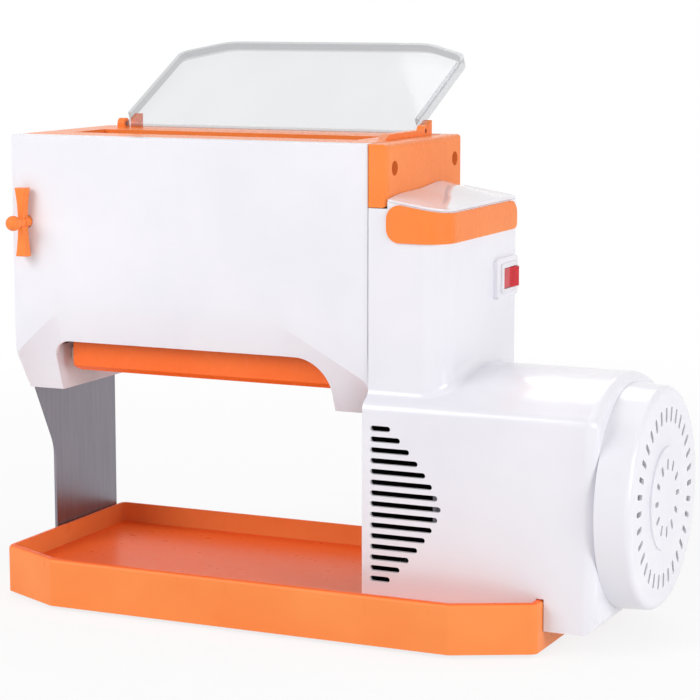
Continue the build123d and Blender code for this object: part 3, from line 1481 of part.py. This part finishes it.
def fan_cover():
    """Round cover at the motor's end with two rings of radial slots and a raised middle disc."""
    x0 = housing_right_x
    x1 = housing_right_x + drum_length
    cone = Pos(0, 0, drum_length / 2) * Cone(drum_radius, drum_radius - drum_draft, drum_length)
    drum = Pos(x0, motor_y, motor_z) * Rot(0, 90, 0) * cone
    drum = fillet(drum.edges().group_by(Axis.X)[-1], drum_edge)
    wall = housing_wall
    drum = drum - rod_x(x0 + wall, x1 - wall, motor_y, motor_z, drum_radius - drum_draft - wall)
    drum = drum - rod_x(x0 - 1, x0 + wall + 1, motor_y, motor_z, fan_hole_radius + clear_gap)
    drum = drum + rod_x(x1 - 1, x1 + disc_rise, motor_y, motor_z, disc_radius)
    outer_ring = (outer_slots, slot_ring_radius, outer_slot_length)
    inner_ring = (inner_slots, inner_ring_radius, inner_slot_length)
    for count, radius, length in (outer_ring, inner_ring):
        slot = block(x1 - wall - 1, x1 + disc_rise + 1, radius - length / 2, radius + length / 2,
                     -slot_width / 2, slot_width / 2)
        slot = fillet(slot.edges().filter_by(Axis.X), slot_width * vent_rounding)
        for number in range(count):
            drum = drum - Pos(0, motor_y, motor_z) * Rot(number * 360 / count, 0, 0) * slot
    return drum


def cord_gland():
    """Rubber grommet for the mains lead in the housing's back wall."""
    wall = housing_wall
    back = housing_back_y
    inside = housing_back_y - wall
    gland = rod_y(gland_x, inside, back, gland_z, gland_radius)
    gland = gland + rod_y(gland_x, back, back + gland_lip_depth, gland_z, gland_radius + gland_lip)
    gland = gland + rod_y(gland_x, inside - gland_lip_depth, inside, gland_z, gland_radius + gland_lip)
    return gland - rod_y(gland_x, back - 10, back + 5, gland_z, gland_bore_radius)


# ---- all pieces, by node ----
nodes = {
    "base_tray": base_tray(),
    "rubber_feet": rubber_feet(),
    "left_side_plate": left_side_plate(),
    "right_side_plate": right_side_plate(),
    "tie_rods": tie_rods(),
    "tie_rod_screws": tie_rod_screws(),
    "tray_screws": tray_screws(),
    "front_cover": front_cover(),
    "rear_cover": rear_cover(),
    "top_frame": top_frame(),
    "feed_chute": feed_chute(),
    "press_bushes": press_bushes(),
    "cutter_bushes": cutter_bushes(),
    "bearing_caps": bearing_caps(),
    "front_press_roller": press_roller(press_front_y, left_outside + clear_gap, layer_a[1] + 0.5),
    "rear_press_roller": press_roller(press_back_y, left_outside + clear_gap, layer_a[1] + 0.5),
    "front_cutter_roller": cutter_roller(cutter_front_y, first_ring_x, layer_b[1] + 0.3),
    "rear_cutter_roller": rear_cutter_roller(),
    "front_comb": comb(True),
    "rear_comb": comb(False),
    "outlet_lip": outlet_lip(),
    "front_scraper": scraper(False, block_left[1], block_right[0]),
    "rear_scraper": scraper(True, 0, right_plate_x),
    "carriage_blocks": carriage_blocks(),
    "carriage_yoke": carriage_yoke(),
    "knob_bracket": knob_bracket(),
    "adjusting_screw": adjusting_screw(),
    "thickness_knob": thickness_knob(),
    "cutter_output_gear": cutter_output_gear(),
    "idler_gear": idler_gear(),
    "rear_press_gear": rear_press_gear(),
    "front_press_gear": front_press_gear(),
    "rear_cutter_gear": rear_cutter_gear(),
    "front_cutter_gear": front_cutter_gear(),
    "cutter_input_gear": cutter_input_gear(),
    "reduction_gear": reduction_gear(),
    "motor_pinion": motor_pinion(),
    "idler_stud": idler_stud(),
    "reduction_stud": reduction_stud(),
    "gear_plate": gear_plate(),
    "gear_plate_pillars": gear_plate_pillars(),
    "motor_stator": motor_stator(),
    "motor_windings": motor_windings(),
    "motor_end_bells": motor_end_bells(),
    "motor_screws": motor_screws(),
    "motor_mounts": motor_mounts(),
    "motor_shaft": motor_shaft(),
    "rotor_core": rotor_core(),
    "cooling_fan": cooling_fan(),
    "run_capacitor": run_capacitor(),
    "drive_housing": drive_housing(),
    "drive_wall": drive_wall(),
    "column_band": column_band(),
    "column_top": column_top(),
    "gear_cover": gear_cover(),
    "gear_cover_screws": gear_cover_screws(),
    "fan_cover": fan_cover(),
    "switch_body": switch_body(),
    "switch_rocker": switch_rocker(),
    "cord_gland": cord_gland(),
}

boxes = [piece.bounding_box() for piece in nodes.values()]
low = Vector(min(b.min.X for b in boxes), min(b.min.Y for b in boxes), min(b.min.Z for b in boxes))
high = Vector(max(b.max.X for b in boxes), max(b.max.Y for b in boxes), max(b.max.Z for b in boxes))
shift = Vector(-(low.X + high.X) / 2, -(low.Y + high.Y) / 2, -low.Z)
os.makedirs("parts", exist_ok=True)
for name, piece in nodes.items():
    export_step(Pos(shift) * piece, f"parts/{name}.step")
print("overall size", high - low, "shift", shift)
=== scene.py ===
import bpy
from math import cos, radians, sin
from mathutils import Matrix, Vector


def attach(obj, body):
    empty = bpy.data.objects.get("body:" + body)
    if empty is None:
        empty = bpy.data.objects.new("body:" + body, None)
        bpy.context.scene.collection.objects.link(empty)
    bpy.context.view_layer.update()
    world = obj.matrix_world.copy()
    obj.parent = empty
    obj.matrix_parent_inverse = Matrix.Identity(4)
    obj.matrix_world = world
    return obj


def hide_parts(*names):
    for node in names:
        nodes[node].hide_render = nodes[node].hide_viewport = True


# Looks of an electric pasta maker: white and orange moulded housings round steel rollers, on an orange tray.
# Sizes in this script are bench millimetres: x to the right from the tray's left side, y back from its front
# edge and z up from its lower edge. place() turns them into the frame's metres.

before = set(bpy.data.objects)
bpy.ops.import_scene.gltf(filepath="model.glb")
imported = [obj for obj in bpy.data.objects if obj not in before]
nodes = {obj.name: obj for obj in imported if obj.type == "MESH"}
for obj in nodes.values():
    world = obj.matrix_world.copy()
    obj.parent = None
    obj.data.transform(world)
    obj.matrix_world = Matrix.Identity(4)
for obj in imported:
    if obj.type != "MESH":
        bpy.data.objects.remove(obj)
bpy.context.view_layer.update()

MILLIMETRE = 0.001
# The step from bench millimetres to the frame, in millimetres.
BENCH_TO_FRAME = Vector((-170.85, -97.5085, 2.0))
# Most of a noise's values lie between these two.
NOISE_LOW = 0.3
NOISE_HIGH = 0.7
CHUTE_TILT = 27.0
# Points of a mesh nearer than this are one point, and faces flatter than this angle are one face.
JOIN_DISTANCE = 0.01 * MILLIMETRE
FLAT_ANGLE = radians(1.0)
SMOOTH_ANGLE = radians(35.0)
OUTLET_RIM_RADIUS = 3.5
OUTLET_RIM_STEPS = 4
# The noodle outlet lies between these places along the rollers and below this height.
OUTLET_LEFT = 5.0
OUTLET_RIGHT = 195.0
OUTLET_TOP = 150.0


def place(x, y, z):
    """A point given in bench millimetres, in the frame's metres."""
    return (Vector((x, y, z)) + BENCH_TO_FRAME) * MILLIMETRE


def colour(hex_code):
    """An sRGB hex colour as the linear colour that shaders take."""
    parts = [int(hex_code[i:i + 2], 16) / 255 for i in (0, 2, 4)]
    linear = [c / 12.92 if c <= 0.04045 else ((c + 0.055) / 1.055) ** 2.4 for c in parts]
    return (*linear, 1.0)


def add_node(material, kind, inputs=None, **settings):
    """Adds a node, with its settings and with its inputs set or linked."""
    made = material.node_tree.nodes.new(kind)
    for name, value in settings.items():
        setattr(made, name, value)
    for name, value in (inputs or {}).items():
        if isinstance(value, bpy.types.NodeSocket):
            material.node_tree.links.new(value, made.inputs[name])
        else:
            made.inputs[name].default_value = value
    return made


def new_material(name):
    """An empty material with its output node."""
    material = bpy.data.materials.new(name)
    material.use_nodes = True
    material.node_tree.nodes.clear()
    return material


def finish_material(material, shader):
    add_node(material, "ShaderNodeOutputMaterial", {"Surface": shader.outputs[0]})
    return material


def grain(material, scale, detail=2.0, stretch=(1.0, 1.0, 1.0)):
    """Noise in object coordinates: scale is how many waves there are in a metre."""
    place_node = add_node(material, "ShaderNodeTexCoord")
    mapped = add_node(material, "ShaderNodeMapping", {
        "Vector": place_node.outputs["Object"], "Scale": stretch})
    return add_node(material, "ShaderNodeTexNoise", {
        "Vector": mapped.outputs[0], "Scale": scale, "Detail": detail})


def between(material, noise, dark, light):
    """A colour that wanders from dark to light with a noise."""
    spread = add_node(material, "ShaderNodeMapRange", {
        "Value": noise.outputs[0], "From Min": NOISE_LOW, "From Max": NOISE_HIGH})
    mix = add_node(material, "ShaderNodeMix", {"Factor": spread.outputs[0]}, data_type="RGBA")
    mix.inputs[6].default_value = colour(dark)
    mix.inputs[7].default_value = colour(light)
    return mix.outputs[2]


def number_between(material, noise, low, high):
    """A number that wanders from low to high with a noise."""
    return add_node(material, "ShaderNodeMapRange", {
        "Value": noise.outputs[0], "From Min": NOISE_LOW, "From Max": NOISE_HIGH,
        "To Min": low, "To Max": high}).outputs[0]


def painted_shade_and_reflection_on_top(material, tone, deep):
    """Turns a tone to a deeper one where the surface faces up: painted shade and painted reflection, as
    inside a tray that reflects itself.
    """
    spot = add_node(material, "ShaderNodeTexCoord")
    axes = add_node(material, "ShaderNodeSeparateXYZ", {"Vector": spot.outputs["Normal"]})
    upward = add_node(material, "ShaderNodeMapRange", {
        "Value": axes.outputs["Z"], "From Min": 0.6, "From Max": 0.95})
    mix = add_node(material, "ShaderNodeMix", {"Factor": upward.outputs[0]}, data_type="RGBA")
    material.node_tree.links.new(tone, mix.inputs[6])
    mix.inputs[7].default_value = colour(deep)
    return mix.outputs[2]


def moulded_plastic(name, dark, light, gloss, coat=0.0, wave=0.00004, specular=0.5, deep=None):
    """Injection-moulded plastic: colour that drifts a little where the melt cooled, a faint orange peel from
    the mould, and rub marks that change the gloss by a few hundredths."""
    material = new_material(name)
    drift = grain(material, 14.0, 3.0)
    rub = grain(material, 160.0, 4.0, (1.0, 1.0, 0.35))
    peel = grain(material, 85.0, 1.0)
    speckle = grain(material, 700.0, 2.0)
    bump = add_node(material, "ShaderNodeBump", {
        "Height": peel.outputs[0], "Strength": 0.6, "Distance": wave})
    fine = add_node(material, "ShaderNodeBump", {
        "Height": speckle.outputs[0], "Strength": 0.25, "Distance": wave * 0.3, "Normal": bump.outputs[0]})
    tone = between(material, drift, dark, light)
    # Painted shade and painted reflection: a deeper tone where the surface faces up.
    if deep:
        tone = painted_shade_and_reflection_on_top(material, tone, deep)
    shader = add_node(material, "ShaderNodeBsdfPrincipled", {
        "Base Color": tone,
        "Roughness": number_between(material, rub, gloss - 0.03, gloss + 0.05),
        "IOR": 1.53,
        "Specular IOR Level": specular,
        "Coat Weight": coat,
        "Coat Roughness": 0.04,
        "Normal": fine.outputs[0]})
    return finish_material(material, shader)


def worked_metal(name, dark, light, roughness, across, bump=0.00002):
    """Metal with the fine lines of a brush, a lathe or a die; across is the stretch that lays the lines."""
    material = new_material(name)
    lines = grain(material, 900.0, 3.0, across)
    cloud = grain(material, 30.0, 2.0)
    relief = add_node(material, "ShaderNodeBump", {
        "Height": lines.outputs[0], "Strength": 0.5, "Distance": bump})
    tone = between(material, lines, dark, light)
    stain = add_node(material, "ShaderNodeMix", {"Factor": number_between(material, cloud, 0.0, 0.25)},
                     data_type="RGBA")
    material.node_tree.links.new(tone, stain.inputs[6])
    stain.inputs[7].default_value = colour(dark)
    shader = add_node(material, "ShaderNodeBsdfPrincipled", {
        "Base Color": stain.outputs[2],
        "Metallic": 1.0,
        "Roughness": number_between(material, lines, roughness - 0.06, roughness + 0.08),
        "Normal": relief.outputs[0]})
    return finish_material(material, shader)


# Orange ABS straight from the mould: saturated, with faint soft reflections of the white room.
orange_abs = moulded_plastic("orange_abs_gloss", "F98540", "FF924C", 0.25, specular=0.1)
# The tray's orange is the same plastic, a little duller; its paler colour is painted light, and the deeper
# tone on its floor is painted shade and painted reflection.
tray_abs = moulded_plastic("orange_abs_tray", "FB8C4A", "FF9A56", 0.3, wave=0.00001, specular=0.1,
                           deep="FF6A2A")
# The outlet's lip is the same orange plastic; its redder, darker colour is painted shade, for the shadow of
# the outlet and the noodles on the lip.
lip_abs_painted_shade = moulded_plastic("orange_abs_lip_painted_shade", "FA6C28", "FF7836", 0.25, specular=0.2)
# White ABS with a blue toner, as makers use to hide yellowing: cool in the shade.
white_abs = moulded_plastic("white_abs_gloss", "EAE9F1", "F2F1F7", 0.2, coat=0.15)
# The column's lid is the same white, glossier, so it mirrors the orange above it.
lid_abs = moulded_plastic("white_abs_polished", "EAE9F1", "F2F1F7", 0.1, coat=0.5)
# White PBT of the switch's bezel: duller than the housing.
switch_white = moulded_plastic("white_pbt_switch", "E4E3E8", "EFEEF2", 0.32)
# Glass-filled nylon of the quiet gears: waxy and off-white.
nylon = moulded_plastic("natural_nylon", "D8D2C0", "E6E1D2", 0.42, wave=0.00006)
# Black glass-filled nylon of the inner wall and the large gear: it keeps the vents dark.
black_nylon = moulded_plastic("black_nylon", "101012", "1A1A1D", 0.5, specular=0.3)
# Black ABS of the motor's fan.
black_plastic = moulded_plastic("black_abs_satin", "141416", "202024", 0.38)
# Rubber feet and grommet: dark and matt, with a fine grain from the mould.
rubber = moulded_plastic("black_rubber", "18181A", "26262A", 0.72, wave=0.0001, specular=0.3)


def clear_sheet(tilt):
    """Clear plastic sheet that leans back by tilt degrees: most light passes straight through it, and its cut
    edges and rim walls, square to the sheet, get painted shade: they are greyer and let less light through."""
    material = new_material("clear_polycarbonate")
    flow = grain(material, 40.0, 2.0, (1.0, 0.3, 0.3))
    relief = add_node(material, "ShaderNodeBump", {
        "Height": flow.outputs[0], "Strength": 0.4, "Distance": 0.00004})
    spot = add_node(material, "ShaderNodeTexCoord")
    square_to_sheet = (0.0, -sin(radians(tilt)), cos(radians(tilt)))
    along = add_node(material, "ShaderNodeVectorMath", {
        0: spot.outputs["Normal"], 1: square_to_sheet}, operation="DOT_PRODUCT")
    flat = add_node(material, "ShaderNodeMath", {0: along.outputs["Value"]}, operation="ABSOLUTE")
    face = add_node(material, "ShaderNodeMapRange", {
        "Value": flat.outputs[0], "From Min": 0.4, "From Max": 0.9})
    # Painted shade: the cut edges and rim walls turn a darker grey and, below, more opaque.
    tone = add_node(material, "ShaderNodeMix", {"Factor": face.outputs[0]}, data_type="RGBA")
    tone.inputs[6].default_value = colour("7C828C")
    material.node_tree.links.new(between(material, flow, "AEB8C6", "BCC5D0"), tone.inputs[7])
    cover = add_node(material, "ShaderNodeMapRange", {
        "Value": face.outputs[0], "To Min": 0.34, "To Max": 0.17})
    shader = add_node(material, "ShaderNodeBsdfPrincipled", {
        "Base Color": tone.outputs[2],
        "Roughness": number_between(material, flow, 0.03, 0.07),
        "IOR": 1.58,
        "Alpha": cover.outputs[0],
        "Normal": relief.outputs[0]})
    return finish_material(material, shader)


def rocker_plastic():
    """Translucent red polycarbonate over a lamp: deep red that wanders a little, darker and brighter."""
    material = new_material("red_polycarbonate")
    cloud = grain(material, 240.0, 2.0)
    ribs = grain(material, 700.0, 1.0, (1.0, 0.2, 1.0))
    relief = add_node(material, "ShaderNodeBump", {
        "Height": ribs.outputs[0], "Strength": 0.3, "Distance": 0.00003})
    shader = add_node(material, "ShaderNodeBsdfPrincipled", {
        "Base Color": between(material, cloud, "C01626", "D82A36"),
        "Specular IOR Level": 0.2,
        "Roughness": number_between(material, cloud, 0.1, 0.2),
        "IOR": 1.58,
        "Subsurface Weight": 0.15,
        "Subsurface Radius": (0.004, 0.001, 0.001),
        "Normal": relief.outputs[0]})
    return finish_material(material, shader)


clear_plastic = clear_sheet(CHUTE_TILT)
rocker_red = rocker_plastic()
# Cold-rolled stainless sheet, brushed upwards: its colour is darker all over, as painted shade for the room's
# dim side that it faces.
plate_steel = worked_metal("brushed_stainless_sheet", "807B84", "928D95", 0.34, (1.0, 1.0, 0.03),
                           bump=0.00001)
# Ground and polished rollers: fine rings round the axis.
roller_steel = worked_metal("ground_stainless_roller", "A9ABB0", "D2D4D8", 0.16, (1.0, 0.04, 0.04))
# Turned and hobbed steel of shafts, pinions and studs.
machined_steel = worked_metal("turned_steel", "8A8C90", "B4B6BA", 0.27, (1.0, 0.1, 0.1))
# Bright zinc plate on the screws, with the slight blue of its chromate.
zinc_screws = worked_metal("bright_zinc_plate", "9C9FA6", "C6CAD2", 0.24, (1.0, 1.0, 1.0))
# Sintered bronze bushes: matt, browner where oil has soaked in.
bronze = worked_metal("sintered_bronze", "8A6234", "B98A4E", 0.42, (1.0, 1.0, 1.0))
# Aluminium die casting of the blocks and end bells: grainy, as cast.
die_cast = worked_metal("cast_aluminium", "86888C", "A8AAAE", 0.48, (0.4, 0.4, 0.4), bump=0.00008)
# Stacked electrical steel: dark edges of the sheets run round the stator.
laminations = worked_metal("stacked_laminations", "3C3E42", "6C6E74", 0.45, (1.0, 0.02, 0.02), bump=0.00008)
# Enamelled copper windings: strands that run along the slots.
copper = worked_metal("enamelled_copper", "7A3416", "C0622C", 0.3, (0.05, 1.0, 1.0), bump=0.0001)

finishes = [
    (orange_abs, ["top_frame", "column_band", "gear_cover", "thickness_knob"]),
    (lip_abs_painted_shade, ["outlet_lip"]),
    (tray_abs, ["base_tray"]),
    (white_abs, ["front_cover", "rear_cover", "drive_housing", "fan_cover"]),
    (lid_abs, ["column_top"]),
    (clear_plastic, ["feed_chute"]),
    (plate_steel, ["left_side_plate", "right_side_plate", "gear_plate", "knob_bracket",
                   "carriage_yoke", "front_scraper", "rear_scraper"]),
    (roller_steel, ["front_press_roller", "rear_press_roller", "front_cutter_roller", "rear_cutter_roller"]),
    (machined_steel, ["tie_rods", "adjusting_screw", "motor_shaft", "motor_pinion", "idler_stud",
                      "reduction_stud", "gear_plate_pillars", "idler_gear", "cutter_output_gear",
                      "front_press_gear", "rear_press_gear"]),
    (zinc_screws, ["tie_rod_screws", "tray_screws", "motor_screws", "gear_cover_screws"]),
    (bronze, ["press_bushes", "cutter_bushes"]),
    (nylon, ["bearing_caps", "front_comb", "rear_comb", "cutter_input_gear", "front_cutter_gear",
             "rear_cutter_gear"]),
    (black_nylon, ["drive_wall", "reduction_gear"]),
    (die_cast, ["carriage_blocks", "motor_end_bells", "run_capacitor"]),
    (laminations, ["motor_stator", "rotor_core"]),
    (copper, ["motor_windings"]),
    (black_plastic, ["cooling_fan"]),
    (rubber, ["rubber_feet", "cord_gland", "motor_mounts"]),
    (switch_white, ["switch_body"]),
    (rocker_red, ["switch_rocker"]),
]
for material, names in finishes:
    for name in names:
        mesh = nodes[name].data
        mesh.materials.clear()
        mesh.materials.append(material)


# ---- moulded pieces with the soft edges of their moulds ----
def select_only(piece):
    bpy.ops.object.select_all(action="DESELECT")
    piece.select_set(True)
    bpy.context.view_layer.objects.active = piece


def merged_copy(node_name, piece_name):
    """A copy of a solid's mesh with its points joined and its flat faces made whole."""
    piece = bpy.data.objects.new(piece_name, nodes[node_name].data.copy())
    bpy.context.scene.collection.objects.link(piece)
    select_only(piece)
    bpy.ops.object.mode_set(mode="EDIT")
    bpy.ops.mesh.select_all(action="SELECT")
    bpy.ops.mesh.remove_doubles(threshold=JOIN_DISTANCE)
    bpy.ops.mesh.dissolve_limited(angle_limit=FLAT_ANGLE)
    bpy.ops.object.mode_set(mode="OBJECT")
    return piece


def round_edges(piece, width, steps, sharper_than=30.0):
    """Rounds a piece's sharp edges and keeps its flat faces flat to the eye."""
    select_only(piece)
    bevel = piece.modifiers.new("mould_radius", "BEVEL")
    bevel.width = width * MILLIMETRE
    bevel.segments = steps
    bevel.limit_method = "ANGLE"
    bevel.angle_limit = radians(sharper_than)
    bevel.miter_outer = "MITER_ARC"
    bpy.ops.object.modifier_apply(modifier=bevel.name)
    bpy.ops.object.shade_smooth_by_angle(angle=SMOOTH_ANGLE)
    normals = piece.modifiers.new("flat_faces", "WEIGHTED_NORMAL")
    normals.keep_sharp = True
    bpy.ops.object.modifier_apply(modifier=normals.name)


def soften(piece, wanted, width, steps):
    """Rounds the edges between two faces for which wanted(middle in bench mm, normal, other normal) holds."""
    mesh = piece.data
    sides = {}
    for face in mesh.polygons:
        for key in face.edge_keys:
            sides.setdefault(key, []).append(face.normal.copy())
    select_only(piece)
    bpy.ops.object.mode_set(mode="EDIT")
    bpy.ops.mesh.select_mode(type="EDGE")
    bpy.ops.mesh.select_all(action="DESELECT")
    bpy.ops.object.mode_set(mode="OBJECT")
    for edge in mesh.edges:
        pair = sides.get(edge.key, [])
        if len(pair) != 2:
            continue
        ends = [mesh.vertices[i].co for i in edge.vertices]
        middle = (ends[0] + ends[1]) / 2 / MILLIMETRE - BENCH_TO_FRAME
        if wanted(middle, *pair):
            edge.select = True
    bpy.ops.object.mode_set(mode="EDIT")
    bpy.ops.mesh.bevel(offset=width * MILLIMETRE, segments=steps, affect="EDGES", clamp_overlap=True,
                       loop_slide=False)
    bpy.ops.object.mode_set(mode="OBJECT")


def outlet_rim(middle, normal, other):
    """The front edge of the noodle outlet."""
    if not (OUTLET_LEFT < middle.x < OUTLET_RIGHT and middle.z < OUTLET_TOP):
        return False
    forward, inward = sorted((normal, other), key=lambda n: n.y)
    return forward.y < -0.5 and abs(inward.y) < 0.3


def stand_for(piece, node_name, body, material):
    """Puts a piece in the place of a solid."""
    piece.data.materials.clear()
    piece.data.materials.append(material)
    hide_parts(node_name)
    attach(piece, body)


mouldings = [
    ("front_cover", "frame", "white_abs", white_abs, 1.0, 3),
    ("base_tray", "frame", "orange_abs", tray_abs, 0.5, 2),
    ("gear_cover", "frame", "orange_abs", orange_abs, 0.6, 2),
    ("column_band", "frame", "orange_abs", orange_abs, 0.8, 3),
    ("column_top", "frame", "white_abs", lid_abs, 0.5, 3),
    ("drive_housing", "frame", "white_abs", white_abs, 0.4, 2),
    ("fan_cover", "frame", "white_abs", white_abs, 0.4, 2),
    ("outlet_lip", "frame", "orange_abs", lip_abs_painted_shade, 1.0, 3),
    ("top_frame", "frame", "orange_abs", orange_abs, 0.5, 2),
    ("thickness_knob", "knob", "orange_abs", orange_abs, 0.6, 3),
    ("feed_chute", "chute", "clear_plastic", clear_plastic, 0.4, 2),
    ("switch_body", "frame", "switch_white", switch_white, 0.3, 2),
]
for node_name, body, slot, material, width, steps in mouldings:
    moulding = merged_copy(node_name, node_name + "_moulding")
    if node_name == "front_cover":
        soften(moulding, outlet_rim, OUTLET_RIM_RADIUS, OUTLET_RIM_STEPS)
    round_edges(moulding, width, steps)
    stand_for(moulding, node_name, body, material)


# ---- room: floor, background, lamps and camera ----
def seen_directly(material):
    """1 for what the camera sees, straight or in gloss and glass, and 0 for light on the object."""
    path = add_node(material, "ShaderNodeLightPath")
    gloss = add_node(material, "ShaderNodeMath", operation="MAXIMUM")
    glass = add_node(material, "ShaderNodeMath", operation="MAXIMUM")
    material.node_tree.links.new(path.outputs["Is Camera Ray"], gloss.inputs[0])
    material.node_tree.links.new(path.outputs["Is Glossy Ray"], gloss.inputs[1])
    material.node_tree.links.new(gloss.outputs[0], glass.inputs[0])
    material.node_tree.links.new(path.outputs["Is Transmission Ray"], glass.inputs[1])
    return glass.outputs[0]


def white_room(ambient):
    """A world that is white where it is seen and gives a plain soft light elsewhere."""
    world = bpy.data.worlds.new("white_room")
    bpy.context.scene.world = world
    world.use_nodes = True
    world.node_tree.nodes.clear()
    seen = seen_directly(world)
    strength = add_node(world, "ShaderNodeMapRange", {"Value": seen, "To Min": ambient, "To Max": 1.0})
    background = add_node(world, "ShaderNodeBackground", {
        "Color": colour("FFFFFF"), "Strength": strength.outputs[0]})
    add_node(world, "ShaderNodeOutputWorld", {"Surface": background.outputs[0]})


def pale_floor():
    """White paper floor: it shows the object's shadow faintly and fades into the background."""
    bpy.ops.object.select_all(action="DESELECT")
    bpy.ops.mesh.primitive_plane_add(size=12.0, location=(0, 0, 0))
    floor = bpy.context.object
    floor.name = "floor"
    paper = new_material("white_paper")
    fibre = grain(paper, 60.0, 3.0)
    matt = add_node(paper, "ShaderNodeBsdfDiffuse", {
        "Color": between(paper, fibre, "F6F6F6", "FAFAFA")})
    glow = add_node(paper, "ShaderNodeEmission", {"Color": colour("FFFFFF"), "Strength": 1.0})
    spot = add_node(paper, "ShaderNodeTexCoord")
    away = add_node(paper, "ShaderNodeVectorMath", {0: spot.outputs["Object"]}, operation="LENGTH")
    fade = add_node(paper, "ShaderNodeMapRange", {
        "Value": away.outputs["Value"], "From Min": 0.25, "From Max": 0.9, "To Min": 0.82, "To Max": 1.0})
    share = add_node(paper, "ShaderNodeMath", {1: fade.outputs[0]}, operation="MULTIPLY")
    paper.node_tree.links.new(seen_directly(paper), share.inputs[0])
    mixed = add_node(paper, "ShaderNodeMixShader", {"Fac": share.outputs[0]})
    paper.node_tree.links.new(matt.outputs[0], mixed.inputs[1])
    paper.node_tree.links.new(glow.outputs[0], mixed.inputs[2])
    finish_material(paper, mixed)
    floor.data.materials.append(paper)


def soft_lamp(name, location, target, size, power):
    """A square softbox that faces a target."""
    lamp = bpy.data.lights.new(name, "AREA")
    lamp.shape = "SQUARE"
    lamp.size = size
    lamp.energy = power
    holder = bpy.data.objects.new(name, lamp)
    holder.location = location
    holder.rotation_mode = "QUATERNION"
    holder.rotation_quaternion = (Vector(target) - Vector(location)).to_track_quat("-Z", "Y")
    bpy.context.scene.collection.objects.link(holder)


white_room(ambient=0.36)
pale_floor()
soft_lamp("key_softbox", (-0.72, -0.95, 0.8), (0, 0, 0.12), size=0.8, power=9.2)
soft_lamp("top_softbox", (0.2, 0.3, 1.4), (0, 0, 0.15), size=1.0, power=2.2)
soft_lamp("right_softbox", (1.3, -0.4, 0.5), (0.1, 0, 0.12), size=0.7, power=8.2)
soft_lamp("back_softbox", (-0.4, 1.3, 1.5), (0, 0, 0.12), size=0.8, power=6.0)

camera = bpy.data.cameras.new("camera")
camera.lens = 120.7
camera.sensor_width = 36.0
camera.clip_start = 0.05
camera.clip_end = 50.0
camera_holder = bpy.data.objects.new("camera", camera)
camera_holder.location = place(676.774, -1015.768, 313.549)
camera_holder.rotation_mode = "QUATERNION"
looking = place(173.109, 80.0, 132.32) - camera_holder.location
camera_holder.rotation_quaternion = looking.to_track_quat("-Z", "Y")
bpy.context.scene.collection.objects.link(camera_holder)
bpy.context.scene.camera = camera_holder
bpy.context.scene.view_settings.view_transform = "Standard"

bpy.context.view_layer.update()
